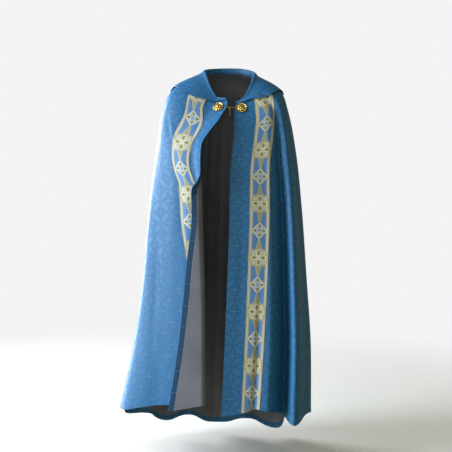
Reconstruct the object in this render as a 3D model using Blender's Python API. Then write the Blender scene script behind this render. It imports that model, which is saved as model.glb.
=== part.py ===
"""A cope as it hangs on a wearer who isn't here: open front, flat shoulder collar, galloon bands and
a clasp of two rosettes. Metres, +Z up, the front faces -Y, and right and left are the wearer's, so
right is -X. The origin is between the shoulders, level with the top of the cloth there."""
import math

import bpy
import numpy as np

# Cloth layers and the gap between pieces
SHELL = 0.0020
LINING = 0.0010
BAND = 0.0012
FACING = 0.0010
SEAM = 0.0003

# Trimmings, measured across the cloth from the front edge
GALLOON_INSET = 0.078
GALLOON_WIDTH = 0.078
FACING_WIDTH = 0.021
HEM_FACING = 0.020
BACK_DROP = 1.45
SEAM_START = 0.11
SEAM_SHARE = 0.45

# How finely the solids are divided
LEVELS = (0.0, 0.045, 0.09, 0.135, 0.175, 0.21, 0.245, 0.27, 0.29, 0.315, 0.355, 0.41, 0.48, 0.55,
          0.62, 0.69, 0.76, 0.83, 0.91)
BACK_COLUMNS = 28
COLLAR_COLUMNS = 44
GALLOON_END = GALLOON_INSET + GALLOON_WIDTH
CURL_END = 0.188
NEAR_RIGHT = (0.0, FACING_WIDTH, 0.035, 0.049, 0.0635, GALLOON_INSET, 0.091, 0.104, 0.117, 0.130,
              0.143, GALLOON_END, 0.171, CURL_END)
NEAR_LEFT = (0.0, 0.026, 0.052, GALLOON_INSET, 0.104, 0.130, GALLOON_END)
REST_RIGHT = 12
REST_LEFT = 22
TRACE = 260
TURN_POINT = 3
CURL_POINTS = 90
RUN_POINTS = 30
ACROSS_STEP = 0.0015
DROP_STEP = 0.004

# One row for each level round the body. drop runs from the neck seam (0) to the hem (1). right and
# left are the half widths, front_right, front_left and back are the depths from the middle, the z
# columns are the heights at the front, over each side and at the back, and square is how flat the
# front is.
SECTIONS = (
    # drop, right, left, front_right, front_left, back, z_front, z_right, z_left, z_back, square
    (0.00, 0.098, 0.096, 0.088, 0.088, 0.088, -0.085, 0.031, 0.020, 0.044, 3.1),
    (0.04, 0.157, 0.147, 0.102, 0.102, 0.108, -0.112, 0.011, -0.001, 0.032, 3.5),
    (0.09, 0.227, 0.203, 0.120, 0.118, 0.128, -0.158, -0.030, -0.042, -0.002, 3.5),
    (0.14, 0.262, 0.226, 0.137, 0.128, 0.142, -0.215, -0.095, -0.102, -0.067, 3.2),
    (0.27, 0.295, 0.263, 0.172, 0.150, 0.168, -0.371, -0.275, -0.280, -0.275, 2.8),
    (0.43, 0.324, 0.288, 0.180, 0.166, 0.192, -0.562, -0.498, -0.504, -0.530, 2.7),
    (0.61, 0.347, 0.307, 0.188, 0.182, 0.226, -0.776, -0.748, -0.758, -0.818, 2.7),
    (0.80, 0.386, 0.326, 0.200, 0.198, 0.262, -1.002, -1.010, -1.022, -1.118, 2.7),
    (1.00, 0.448, 0.330, 0.216, 0.216, 0.300, -1.236, -1.287, -1.308, -1.440, 2.7),
)
SQUARE_BACK = 2.3
LEVEL_AHEAD = 2.0
LEVEL_BEHIND = 1.2

# The left front hangs straight, and its edge crosses the middle near the hem
LEFT_EDGE = (
    # drop, x, dip
    (0.00, 0.0226, 0.000),
    (0.04, 0.0160, 0.000),
    (0.14, 0.0135, 0.000),
    (0.25, 0.0000, 0.000),
    (0.40, -0.0030, 0.004),
    (0.60, -0.0120, 0.014),
    (0.78, -0.0210, 0.028),
    (1.00, -0.0355, 0.047),
)
LEFT_DIP_REACH = 0.15

# The right front is thrown back over the forearm. From turn_x the cloth rolls outward through curl
# degrees at this radius, then runs on straight to its edge.
RIGHT_MARGIN = (
    # drop, turn_x, curl, radius, straight, dip
    (0.000, -0.0500, 4.0, 0.2000, 0.0220, 0.000),
    (0.048, -0.0780, 25.0, 0.1200, 0.0120, 0.000),
    (0.094, -0.1100, 50.0, 0.0900, 0.0000, 0.000),
    (0.138, -0.1340, 70.0, 0.0640, 0.0000, 0.000),
    (0.186, -0.1510, 84.0, 0.0500, 0.0000, 0.000),
    (0.233, -0.1500, 88.0, 0.0450, 0.0020, 0.000),
    (0.268, -0.1440, 98.0, 0.0400, 0.0040, 0.000),
    (0.290, -0.1360, 122.0, 0.0300, 0.0110, 0.000),
    (0.313, -0.1280, 150.0, 0.0210, 0.0250, 0.000),
    (0.392, -0.1250, 172.0, 0.0200, 0.0200, 0.000),
    (0.535, -0.1190, 180.0, 0.0180, 0.0440, 0.004),
    (0.662, -0.1130, 183.0, 0.0145, 0.0655, 0.008),
    (0.820, -0.1115, 186.0, 0.0140, 0.0900, 0.014),
    (1.000, -0.1120, 188.0, 0.0140, 0.1240, 0.022),
)

# Folds of the hanging cloth. A place is a share of the half round: 0 at the middle of the back, 1 at
# the left front edge, -1 where the right front turns back. Width is the reach to each side at the
# hem, depth is outward at the hem, lean is how far the fold tips toward the front there, start is the
# drop where the fold begins, and sag is how far the hem hangs lower there.
FOLDS = (
    # place at top, place at hem, width, depth, lean, start, sag
    (-0.93, -0.95, 0.045, 0.010, 0.000, 0.20, 0.000),
    (-0.79, -0.83, 0.050, -0.008, 0.000, 0.16, -0.002),
    (-0.68, -0.71, 0.040, 0.010, 0.000, 0.20, 0.004),
    (-0.58, -0.60, 0.050, -0.014, 0.000, 0.20, -0.005),
    (-0.46, -0.44, 0.044, 0.020, 0.004, 0.22, 0.026),
    (-0.36, -0.36, 0.038, -0.036, 0.000, 0.14, -0.010),
    (-0.26, -0.27, 0.040, 0.030, -0.010, 0.12, 0.026),
    (-0.15, -0.17, 0.036, -0.042, 0.000, 0.12, -0.034),
    (-0.04, -0.05, 0.044, 0.034, 0.008, 0.16, 0.012),
    (0.07, 0.07, 0.036, -0.040, 0.000, 0.10, -0.024),
    (0.17, 0.19, 0.040, 0.030, 0.010, 0.14, 0.048),
    (0.27, 0.29, 0.036, -0.036, 0.000, 0.12, -0.016),
    (0.38, 0.39, 0.046, 0.022, -0.006, 0.20, 0.008),
    (0.50, 0.52, 0.050, -0.016, 0.000, 0.20, -0.006),
    (0.64, 0.708, 0.030, 0.038, 0.032, 0.05, 0.044),
    (0.705, 0.766, 0.028, -0.056, -0.024, 0.03, 0.026),
    (0.775, 0.825, 0.022, 0.010, 0.000, 0.08, 0.008),
    (0.82, 0.875, 0.016, -0.010, 0.000, 0.60, -0.003),
)

# Where the galloon's two edges lie along each level. Near the neck the levels slope toward the front
# edge, so a band of even width takes more of them.
BAND_LINES = (
    # drop, right inner, right outer, left inner, left outer
    (0.000, 0.088, 0.168, 0.082, 0.172),
    (0.045, 0.093, 0.178, 0.086, 0.186),
    (0.090, 0.074, 0.156, 0.086, 0.184),
    (0.140, 0.064, 0.148, 0.081, 0.170),
    (0.190, 0.070, 0.152, 0.079, 0.162),
    (0.240, 0.078, 0.157, 0.078, 0.156),
    (0.390, 0.071, 0.149, 0.078, 0.156),
    (1.000, 0.071, 0.149, 0.078, 0.156),
)

# The collar stands up at the neck, rolls over and lies on the shoulders. place is the share of the
# way from the front edge to the middle of the back, and reach is how much of the drop it covers.
COLLAR = (
    # place, reach, stand
    (0.00, 0.006, 0.004),
    (0.17, 0.020, 0.009),
    (0.30, 0.054, 0.013),
    (0.50, 0.088, 0.016),
    (0.75, 0.125, 0.019),
    (1.00, 0.140, 0.020),
)
COLLAR_WALL = 0.0020
COLLAR_LIFT = 0.0060
COLLAR_EDGE_LIFT = 0.0080
COLLAR_ROLL = 0.0030
COLLAR_RISE_FADE = 9.0
COLLAR_SHARE_STEP = 0.01
COLLAR_DROP_STEP = 0.005
COLLAR_FALL = (0.0, 0.10, 0.26, 0.50, 0.75, 1.0)

# Clasp: two rosettes sewn to the fronts, a link from one to the other and a drop that hangs on it
ROSETTE_RADIUS = 0.0210
ROSETTE_LOBES = 12
ROSETTE_RIGHT = (-0.0455, -0.102)
ROSETTE_LEFT = (0.0430, -0.106)
SEAT_REACH = 0.10
SEAT_LEVEL = 0.80
SEAT_CLEAR = 1.08
ROSETTE_EDGE = 1.02
ROSETTE_PROFILE = (
    # share of the radius, height, depth of the lobes
    (1.00, 0.0000, 0.09),
    (ROSETTE_EDGE, 0.0022, 0.09),
    (0.86, 0.0040, 0.06),
    (0.66, 0.0030, 0.00),
    (0.52, 0.0058, 0.00),
    (0.28, 0.0084, 0.00),
)
LINK_WIRE = 0.0014
LINK_HEIGHT = 0.0006
LINK_FORWARD = 0.0025
DROP_RING = 0.0034
DROP_WIRE = 0.0010
DROP_LENGTH = 0.030
DROP_END = 0.0032

# Finishes: colour, roughness, metallic
FINISHES = {
    "brocade": ((0.10, 0.30, 0.62), 0.45, 0.0),
    "lining": ((0.24, 0.26, 0.33), 0.60, 0.0),
    "galloon": ((0.72, 0.66, 0.47), 0.45, 0.0),
    "gold_metal": ((0.80, 0.58, 0.20), 0.28, 1.0),
}


def smooth_columns(table, at):
    """The columns of a table at these values of its first column, on smooth curves."""
    table = np.array(table)
    knots = table[:, 0]
    values = table[:, 1:]
    steps = np.diff(knots)[:, None]
    rises = np.diff(values, axis=0) / steps
    slopes = np.vstack((rises[:1], (rises[1:] + rises[:-1]) / 2, rises[-1:]))
    flat = (rises[1:] * rises[:-1]) <= 0
    slopes[1:-1][flat] = 0.0
    at = np.clip(np.atleast_1d(at), knots[0], knots[-1])
    low = np.clip(np.searchsorted(knots, at, side="right") - 1, 0, len(knots) - 2)
    span = steps[low]
    t = (at[:, None] - knots[low][:, None]) / span
    return (values[low] * (1 + 2 * t) * (1 - t) ** 2
            + values[low + 1] * t * t * (3 - 2 * t)
            + slopes[low] * span * t * (1 - t) ** 2
            + slopes[low + 1] * span * t * t * (t - 1))


def signed_power(value, exponent):
    return np.sign(value) * np.abs(value) ** exponent


def half_ring(drop, side):
    """Points on one side at one level, from the front edge or turn round to the middle of the back."""
    row = smooth_columns(SECTIONS, drop)[0]
    right, left, front_right, front_left, back, z_front, z_right, z_left, z_back, square = row
    if side < 0:
        half, front, z_side = right, front_right, z_right
        start = -smooth_columns(RIGHT_MARGIN, drop)[0][0]
    else:
        half, front, z_side = left, front_left, z_left
        start, dip = smooth_columns(LEFT_EDGE, drop)[0]
    first = math.asin(signed_power(start / half, square / 2))
    angle = np.linspace(first, math.pi, TRACE)
    ahead = angle < math.pi / 2
    power = 2 / np.where(ahead, square, SQUARE_BACK)
    x = side * half * signed_power(np.sin(angle), power)
    y = -np.where(ahead, front, back) * signed_power(np.cos(angle), power)
    level = np.where(ahead, z_front, z_back)
    z = z_side + (level - z_side) * np.abs(np.cos(angle)) ** np.where(ahead, LEVEL_AHEAD, LEVEL_BEHIND)
    if side > 0:
        z -= dip * ahead * np.exp(-((x - start) / LEFT_DIP_REACH) ** 2)
    return np.column_stack((x, y, z))


def run_length(points):
    return np.concatenate(([0.0], np.cumsum(np.linalg.norm(np.diff(points, axis=0), axis=1))))


def at_distances(line, length, at):
    return np.column_stack([np.interp(at, length, line[:, k]) for k in range(3)])


def folded(points, drop, side):
    """A half ring with the folds pushed out of and into it."""
    length = run_length(points)
    place = side * (1 - length / length[-1])
    even = np.linspace(0, length[-1], TRACE)
    points = at_distances(points, length, even)
    place = np.interp(even, length, place)
    along = np.gradient(points[:, :2], axis=0)
    along /= np.linalg.norm(along, axis=1)[:, None]
    out = side * np.column_stack((along[:, 1], -along[:, 0]))
    push = np.zeros(TRACE)
    lean_in = np.zeros(TRACE)
    lower = np.zeros(TRACE)
    for top, hem, width, depth, lean, start, sag in FOLDS:
        grown = np.clip((drop - start) / (1 - start), 0, 1)
        middle = top + (hem - top) * drop
        reach = width * (0.45 + 0.55 * grown)
        bulge = np.exp(-((place - middle) * length[-1] / reach) ** 2)
        push += depth * grown ** 0.75 * bulge
        lean_in += lean * grown ** 0.75 * bulge
        lower += sag * drop ** 4 * bulge ** 0.4
    points[:, :2] += out * push[:, None] - along * lean_in[:, None]
    points[:, 2] -= lower
    return points


def margin(points, drop):
    """The turned back edge of the right front, from its free edge to the point where it begins."""
    turn_x, curl, radius, straight, dip = smooth_columns(RIGHT_MARGIN, drop)[0]
    curl = math.radians(curl)
    ahead = points[0] - points[TURN_POINT]
    ahead[2] = 0.0
    ahead /= np.linalg.norm(ahead)
    forward = np.array((ahead[1], -ahead[0], 0.0))
    turned = np.linspace(curl, 0, CURL_POINTS)
    arc = (points[0] + radius * np.sin(turned)[:, None] * ahead
           + radius * (1 - np.cos(turned))[:, None] * forward)
    if straight < 1e-6:
        return arc
    last = math.cos(curl) * ahead + math.sin(curl) * forward
    last[2] = -dip / straight
    run = np.linspace(straight, 0, RUN_POINTS, endpoint=False)
    return np.vstack((arc[0] + run[:, None] * last, arc))


def level_line(drop, side):
    """One level of the cloth from its front edge to the middle of the back."""
    points = folded(half_ring(drop, side), drop, side)
    if side < 0:
        points = np.vstack((margin(points, drop), points[1:]))
    return points


def band_lines(drop, side):
    """Where the galloon's inner and outer edges lie at this drop, from the front edge."""
    places = smooth_columns(BAND_LINES, drop)[0]
    return places[:2] if side < 0 else places[2:]


def cloth(drops, columns, side):
    """Points and outward directions where these levels meet these distances from the front edge.

    columns(length, lines) gives the distances for a level line that is so long, where the galloon's
    edges lie at these two lines."""
    def row(drop):
        line = level_line(drop, side)
        length = run_length(line)
        at = columns(length, band_lines(drop, side))
        return at_distances(line, length, at), line, length, at

    places, outs = [], []
    for drop in drops:
        points, line, length, at = row(drop)
        across = (at_distances(line, length, at + ACROSS_STEP)
                  - at_distances(line, length, at - ACROSS_STEP))
        above = row(max(drop - DROP_STEP, 0.0))[0]
        below = row(min(drop + DROP_STEP, 1.0))[0]
        out = -side * np.cross(across, below - above)
        outs.append(out / np.linalg.norm(out, axis=1)[:, None])
        places.append(points)
    return np.array(places), np.array(outs)


def seam_length(length):
    """How far from the front edge the side seam is: the back narrows toward the neck."""
    return SEAM_START + SEAM_SHARE * length[-1]


def front_columns(side):
    """The columns of a front panel, with one at each edge of the facing and the galloon."""
    near = NEAR_RIGHT if side < 0 else NEAR_LEFT
    rest = REST_RIGHT if side < 0 else REST_LEFT

    def columns(length, lines):
        beyond = lines[1] + CURL_END - GALLOON_END
        first = np.interp(near, (0.0, FACING_WIDTH, GALLOON_INSET, GALLOON_END, CURL_END),
                          (0.0, FACING_WIDTH, *lines, beyond))
        end = seam_length(length) - SEAM / 2
        return np.concatenate((first, first[-1] + (end - first[-1]) * np.arange(1, rest + 1) / rest))
    return columns


def back_half_columns(length, lines):
    start = seam_length(length) + SEAM / 2
    return start + (length[-1] - start) * np.arange(BACK_COLUMNS // 2 + 1) / (BACK_COLUMNS // 2)


def back_cloth(drops):
    """The back panel from the right seam to the left seam."""
    right, right_out = cloth(drops, back_half_columns, -1)
    left, left_out = cloth(drops, back_half_columns, 1)
    middle = (right_out[:, -1:] + left_out[:, -1:]) / 2
    middle /= np.linalg.norm(middle, axis=2)[:, :, None]
    points = np.concatenate((right[:, :-1], (right[:, -1:] + left[:, -1:]) / 2, left[:, -2::-1]), axis=1)
    outs = np.concatenate((right_out[:, :-1], middle, left_out[:, -2::-1]), axis=1)
    return points, outs


def material(name):
    made = bpy.data.materials.get(name)
    if made is None:
        colour, roughness, metallic = FINISHES[name]
        made = bpy.data.materials.new(name)
        made.use_nodes = True
        shader = made.node_tree.nodes["Principled BSDF"]
        shader.inputs["Base Color"].default_value = (*colour, 1.0)
        shader.inputs["Roughness"].default_value = roughness
        shader.inputs["Metallic"].default_value = metallic
    return made


def add_object(name, vertices, faces, finish):
    mesh = bpy.data.meshes.new(name)
    mesh.from_pydata([tuple(v) for v in vertices], [], faces)
    mesh.validate()
    mesh.shade_smooth()
    mesh.set_sharp_from_angle(angle=math.radians(50))
    mesh.materials.append(material(finish))
    made = bpy.data.objects.new(name, mesh)
    bpy.context.scene.collection.objects.link(made)
    return made


def add_wall(name, outer, inner, finish, flip=False):
    """A closed wall between two grids of points of the same size."""
    rows, columns = outer.shape[:2]
    count = rows * columns
    faces = []

    def corner(i, j, layer):
        return layer * count + i * columns + j

    for i in range(rows - 1):
        for j in range(columns - 1):
            a, b, c, d = ((i, j), (i + 1, j), (i + 1, j + 1), (i, j + 1))
            faces.append([corner(*a, 0), corner(*b, 0), corner(*c, 0)])
            faces.append([corner(*a, 0), corner(*c, 0), corner(*d, 0)])
            faces.append([corner(*c, 1), corner(*b, 1), corner(*a, 1)])
            faces.append([corner(*d, 1), corner(*c, 1), corner(*a, 1)])
    rim = ([(i, 0) for i in range(rows)] + [(rows - 1, j) for j in range(1, columns)]
           + [(i, columns - 1) for i in range(rows - 2, -1, -1)] + [(0, j) for j in range(columns - 2, 0, -1)])
    for k, here in enumerate(rim):
        after = rim[(k + 1) % len(rim)]
        # The same diagonal on both sides of a seam, so that twisted edges stay apart
        if sum(after) > sum(here):
            faces.append([corner(*here, 1), corner(*after, 1), corner(*after, 0)])
            faces.append([corner(*here, 1), corner(*after, 0), corner(*here, 0)])
        else:
            faces.append([corner(*here, 1), corner(*after, 1), corner(*here, 0)])
            faces.append([corner(*after, 1), corner(*after, 0), corner(*here, 0)])
    if flip:
        faces = [face[::-1] for face in faces]
    vertices = np.concatenate((outer.reshape(-1, 3), inner.reshape(-1, 3)))
    return add_object(name, vertices, faces, finish)


def add_layer(name, points, outs, low, high, finish, flip):
    """A layer of cloth between two distances out from the middle of the shell."""
    return add_wall(name, points + outs * high, points + outs * low, finish, flip)


def build_fronts(drops):
    """Each front with its galloon, and the right front's facing and lining, which show where it turns."""
    half = SHELL / 2
    low = half + SEAM
    for side, word, near in ((-1, "right", NEAR_RIGHT), (1, "left", NEAR_LEFT)):
        points, outs = cloth(drops, front_columns(side), side)
        add_layer("front_" + word, points, outs, -half, half, "brocade", side < 0)
        band = slice(near.index(GALLOON_INSET), near.index(GALLOON_END) + 1)
        add_layer("galloon_" + word, points[:, band], outs[:, band], low, low + BAND, "galloon", side < 0)
        if side < 0:
            edge = near.index(FACING_WIDTH) + 1
            add_layer("facing_front_right", points[:, :edge], outs[:, :edge], -low - FACING, -low,
                      "brocade", True)
            inside = points[:, edge - 1:].copy()
            step = inside[:, 1] - inside[:, 0]
            inside[:, 0] += step / np.linalg.norm(step, axis=1)[:, None] * SEAM
            add_layer("lining_front_right", inside, outs[:, edge - 1:], -low - LINING, -low, "lining", True)


def build_back(drops):
    """The back with its lining and the facing along its hem."""
    half = SHELL / 2
    low = half + SEAM
    points, outs = back_cloth(drops)
    add_layer("back", points, outs, -half, half, "brocade", True)
    add_layer("hem_facing_back", points[-2:], outs[-2:], -low - FACING, -low, "brocade", True)
    inside = points[:-1].copy()
    step = inside[-2] - inside[-1]
    inside[-1] += step / np.linalg.norm(step, axis=1)[:, None] * SEAM
    add_layer("lining_back", inside, outs[:-1], -low - LINING, -low, "lining", True)


def level_point(drop, share, side):
    """A point of the cloth at a share of the way from its front edge to the middle of the back."""
    line = level_line(drop, side)
    length = run_length(line)
    return at_distances(line, length, share * length[-1])[0]


def grid_outs(points):
    """Unit directions across a grid of points, out of its front."""
    down = np.gradient(points, axis=0)
    across = np.gradient(points, axis=1)
    outs = np.cross(down, across)
    return outs / np.linalg.norm(outs, axis=2)[:, :, None]


def collar_column(share, side):
    """The collar's section at one place: stand, roll and fall, from inside the neck to the edge."""
    reach, stand = smooth_columns(COLLAR, share)[0]
    neck = level_point(0.0, share, side)
    away = neck * (1, 1, 0)
    away /= np.linalg.norm(away)
    inset = -away * (COLLAR_WALL / 2 + 2 * SEAM)
    foot = SHELL / 2 + 2 * SEAM
    column = [neck + inset + (0, 0, foot), neck + inset + (0, 0, stand)]
    for t in COLLAR_FALL:
        here = level_point(reach * t, share, side)
        down = level_point(reach * t + COLLAR_DROP_STEP, share, side) - here
        ahead = level_point(reach * t, max(share - COLLAR_SHARE_STEP, 0.0), side)
        behind = level_point(reach * t, min(share + COLLAR_SHARE_STEP, 1.0), side)
        out = -side * np.cross(behind - ahead, down)
        out /= np.linalg.norm(out)
        lift = COLLAR_LIFT + (COLLAR_EDGE_LIFT - COLLAR_LIFT) * t * t
        rise = (stand - COLLAR_LIFT + COLLAR_ROLL) * math.exp(-COLLAR_RISE_FADE * t)
        column.append(here + out * lift + np.array((0, 0, rise)))
    return column


def build_collar():
    half = COLLAR_COLUMNS // 2
    shares = np.linspace(0, 1, half + 1)
    columns = [collar_column(share, -1) for share in shares]
    columns += [collar_column(share, 1) for share in shares[-2::-1]]
    points = np.array(columns).transpose(1, 0, 2)
    outs = grid_outs(points)
    add_layer("collar", points, outs, -COLLAR_WALL / 2, COLLAR_WALL / 2, "brocade", False)


def seat(x, z, side, drops):
    """A seat for a rosette on a front: its middle and the axes across, up and out."""
    reach = np.linspace(0.0, SEAT_REACH, 41)
    rows = cloth(drops[:4], lambda length, lines: reach, side)[0]
    between = np.linspace(0, 1, 9)[:, None, None]
    points = np.concatenate([low + (high - low) * between for low, high in zip(rows, rows[1:])])
    points = points.reshape(-1, 3)
    middle = points[np.argmin((points[:, 0] - x) ** 2 + (points[:, 2] - z) ** 2)]
    around = points[np.linalg.norm(points - middle, axis=1) < ROSETTE_RADIUS * SEAT_LEVEL]
    out = np.linalg.svd(around - around.mean(axis=0))[2][2]
    out = out if out[1] < 0 else -out
    under = points[np.linalg.norm(points - middle, axis=1) < ROSETTE_RADIUS * SEAT_CLEAR]
    height = ((under - middle) @ out).max()
    across = np.cross((0, 0, 1), -out)
    across /= np.linalg.norm(across)
    return middle + out * (height + SHELL / 2 + SEAM), across, np.cross(out, across), out


def rosette(name, base, across, up, out):
    steps = 2 * ROSETTE_LOBES
    vertices = []
    for share, height, lobe in ROSETTE_PROFILE:
        for k in range(steps):
            angle = 2 * math.pi * k / steps
            radius = ROSETTE_RADIUS * share * (1 - lobe * (k % 2))
            vertices.append(base + radius * (math.cos(angle) * across + math.sin(angle) * up) + height * out)
    rings = len(ROSETTE_PROFILE)
    faces = [[k for k in range(steps)][::-1]]
    for i in range(rings - 1):
        for k in range(steps):
            after = (k + 1) % steps
            faces.append([i * steps + k, i * steps + after, (i + 1) * steps + after, (i + 1) * steps + k])
    faces.append([(rings - 1) * steps + k for k in range(steps)])
    return add_object(name, vertices, faces, "gold_metal")


def rod(name, path, radius, sides, finish):
    """A closed round rod along a path."""
    path = np.array(path)
    ahead = np.gradient(path, axis=0)
    ahead /= np.linalg.norm(ahead, axis=1)[:, None]
    vertices = []
    for point, way in zip(path, ahead):
        first = np.cross(way, (0, 0, 1)) if abs(way[2]) < 0.9 else np.cross(way, (0, 1, 0))
        first /= np.linalg.norm(first)
        second = np.cross(way, first)
        for k in range(sides):
            angle = 2 * math.pi * k / sides
            vertices.append(point + radius * (math.cos(angle) * first + math.sin(angle) * second))
    faces = [list(range(sides))[::-1], [(len(path) - 1) * sides + k for k in range(sides)]]
    for i in range(len(path) - 1):
        for k in range(sides):
            after = (k + 1) % sides
            faces.append([i * sides + k, i * sides + after, (i + 1) * sides + after, (i + 1) * sides + k])
    return add_object(name, vertices, faces, finish)


def ring(name, middle, radius, wire, finish):
    """A closed ring that stands across X."""
    steps, sides = 14, 6
    vertices = []
    for k in range(steps):
        angle = 2 * math.pi * k / steps
        spoke = np.array((0.0, math.cos(angle), math.sin(angle)))
        for m in range(sides):
            turn = 2 * math.pi * m / sides
            vertices.append(middle + spoke * (radius + wire * math.cos(turn))
                            + np.array((wire * math.sin(turn), 0, 0)))
    faces = []
    for k in range(steps):
        for m in range(sides):
            a, b = k * sides + m, k * sides + (m + 1) % sides
            c, d = ((k + 1) % steps) * sides + (m + 1) % sides, ((k + 1) % steps) * sides + m
            faces.append([a, d, c, b])
    return add_object(name, vertices, faces, finish)


def join(target, other):
    """Unite another closed piece into this one."""
    union = target.modifiers.new("join " + other.name, "BOOLEAN")
    union.operation = "UNION"
    union.object = other
    other.hide_render = True
    other.display_type = "WIRE"


def build_clasp(drops):
    right = seat(*ROSETTE_RIGHT, -1, drops)
    left = seat(*ROSETTE_LEFT, 1, drops)
    rosette("rosette_right", *right)
    rosette("rosette_left", *left)
    way = left[0] - right[0]
    way /= np.linalg.norm(way)
    clear = ROSETTE_RADIUS * ROSETTE_EDGE + SEAM
    start = right[0] + way * clear + right[3] * LINK_HEIGHT
    end = left[0] - way * clear + left[3] * LINK_HEIGHT
    path = [start + (end - start) * t + np.array((0, -LINK_FORWARD * math.sin(math.pi * t), 0))
            for t in np.linspace(0, 1, 9)]
    rod("clasp_link", path, LINK_WIRE, 8, "gold_metal")
    hang = path[4] - np.array((0, 0, DROP_RING - DROP_WIRE - LINK_WIRE - SEAM))
    drop = ring("clasp_drop", hang, DROP_RING, DROP_WIRE, "gold_metal")
    top = hang - np.array((0, 0, DROP_RING))
    low = top - np.array((0, 0, DROP_LENGTH - 2 * DROP_END))
    join(drop, rod("drop bar", [top, low], DROP_WIRE * 1.3, 6, "gold_metal"))
    foot = [low + np.array((0, 0, DROP_END)), low - np.array((0, 0, DROP_END))]
    join(drop, rod("drop end", foot, DROP_END * 0.8, 8, "gold_metal"))


def main():
    for old in list(bpy.data.objects):
        bpy.data.objects.remove(old, do_unlink=True)
    drops = np.array((*LEVELS, 1 - HEM_FACING / BACK_DROP, 1.0))
    build_fronts(drops)
    build_back(drops)
    build_collar()
    build_clasp(drops)


main()
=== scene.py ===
"""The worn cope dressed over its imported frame: brocade fronts, back and collar, linings, facings,
galloon bands and the gilt clasp. Metres, +Z up, the front faces -Y, and right is the wearer's, at -X."""
import math

import bpy
import numpy as np
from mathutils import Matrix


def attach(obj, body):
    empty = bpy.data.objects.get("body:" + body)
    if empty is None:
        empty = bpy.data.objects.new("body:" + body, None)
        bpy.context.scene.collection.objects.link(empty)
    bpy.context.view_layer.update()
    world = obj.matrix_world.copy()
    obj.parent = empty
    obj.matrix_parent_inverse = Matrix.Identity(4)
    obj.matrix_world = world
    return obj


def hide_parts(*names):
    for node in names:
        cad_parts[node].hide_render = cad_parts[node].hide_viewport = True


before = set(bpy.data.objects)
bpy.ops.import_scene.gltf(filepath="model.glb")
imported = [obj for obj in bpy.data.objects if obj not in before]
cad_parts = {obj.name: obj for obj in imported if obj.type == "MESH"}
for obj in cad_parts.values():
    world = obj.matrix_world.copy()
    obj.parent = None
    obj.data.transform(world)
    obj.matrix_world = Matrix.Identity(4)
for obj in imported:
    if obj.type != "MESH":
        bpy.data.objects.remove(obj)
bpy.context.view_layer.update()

# Cloth layers and the gap between pieces, as in the solids
SHELL = 0.0020
LINING = 0.0010
BAND = 0.0012
FACING = 0.0010
SEAM = 0.0003
EDGE_ROUND = 0.0006

# The side seams are sewn shut, so they are closer than the solids leave them
SIDE_SEAM = 0.00006

# Trimmings, measured across the cloth from the front edge
GALLOON_INSET = 0.078
GALLOON_WIDTH = 0.078
GALLOON_END = GALLOON_INSET + GALLOON_WIDTH
FACING_WIDTH = 0.021

# The back's hem facing and length. A side seam lies this far from the front edge, and a share of the
# way round more.
HEM_FACING = 0.020
BACK_LENGTH = 1.45
SEAM_START = 0.11
SEAM_SHARE = 0.45

# How finely the cloth is divided
ROWS = 150
TRACE = 1200
NEAR_STEP = 0.0026
FRONT_REST = 84
BACK_HALF = 110
CURL_POINTS = 240
RUN_POINTS = 60
COLLAR_HALF = 130
COLLAR_DOWN = 44
COLLAR_LEVELS = 65
SMOOTH_ANGLE = 50

# Rows over which the weave's small shifts are evened out
EASE_ROWS = 24

# One row for each level round the body. drop runs from the neck seam (0) to the hem (1). right and
# left are the half widths, front_right, front_left and back are the depths from the middle, the z
# columns are the heights at the front, over each side and at the back, and square is how flat the
# front is.
SECTIONS = (
    # drop, right, left, front_right, front_left, back, z_front, z_right, z_left, z_back, square
    (0.00, 0.098, 0.096, 0.088, 0.088, 0.088, -0.085, 0.031, 0.020, 0.044, 3.1),
    (0.04, 0.157, 0.147, 0.102, 0.102, 0.108, -0.112, 0.011, -0.001, 0.032, 3.5),
    (0.09, 0.227, 0.203, 0.120, 0.118, 0.128, -0.158, -0.030, -0.042, -0.002, 3.5),
    (0.14, 0.262, 0.226, 0.137, 0.128, 0.142, -0.215, -0.095, -0.102, -0.067, 3.2),
    (0.27, 0.295, 0.263, 0.172, 0.150, 0.168, -0.371, -0.275, -0.280, -0.275, 2.8),
    (0.43, 0.324, 0.288, 0.180, 0.166, 0.192, -0.562, -0.498, -0.504, -0.530, 2.7),
    (0.61, 0.347, 0.307, 0.188, 0.182, 0.226, -0.776, -0.748, -0.758, -0.818, 2.7),
    (0.80, 0.386, 0.326, 0.200, 0.198, 0.262, -1.002, -1.010, -1.022, -1.118, 2.7),
    (1.00, 0.448, 0.330, 0.216, 0.216, 0.300, -1.236, -1.287, -1.308, -1.440, 2.7),
)

# How flat the back is, and how quickly a level's height changes toward the front and the back
SQUARE_BACK = 2.3
LEVEL_AHEAD = 2.0
LEVEL_BEHIND = 1.2

# The left front hangs straight, and its edge crosses the middle near the hem
LEFT_EDGE = (
    # drop, x, dip
    (0.00, 0.0226, 0.000),
    (0.04, 0.0160, 0.000),
    (0.14, 0.0135, 0.000),
    (0.25, 0.0000, 0.000),
    (0.40, -0.0030, 0.004),
    (0.60, -0.0120, 0.014),
    (0.78, -0.0210, 0.028),
    (1.00, -0.0355, 0.047),
)
LEFT_DIP_REACH = 0.15

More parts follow.
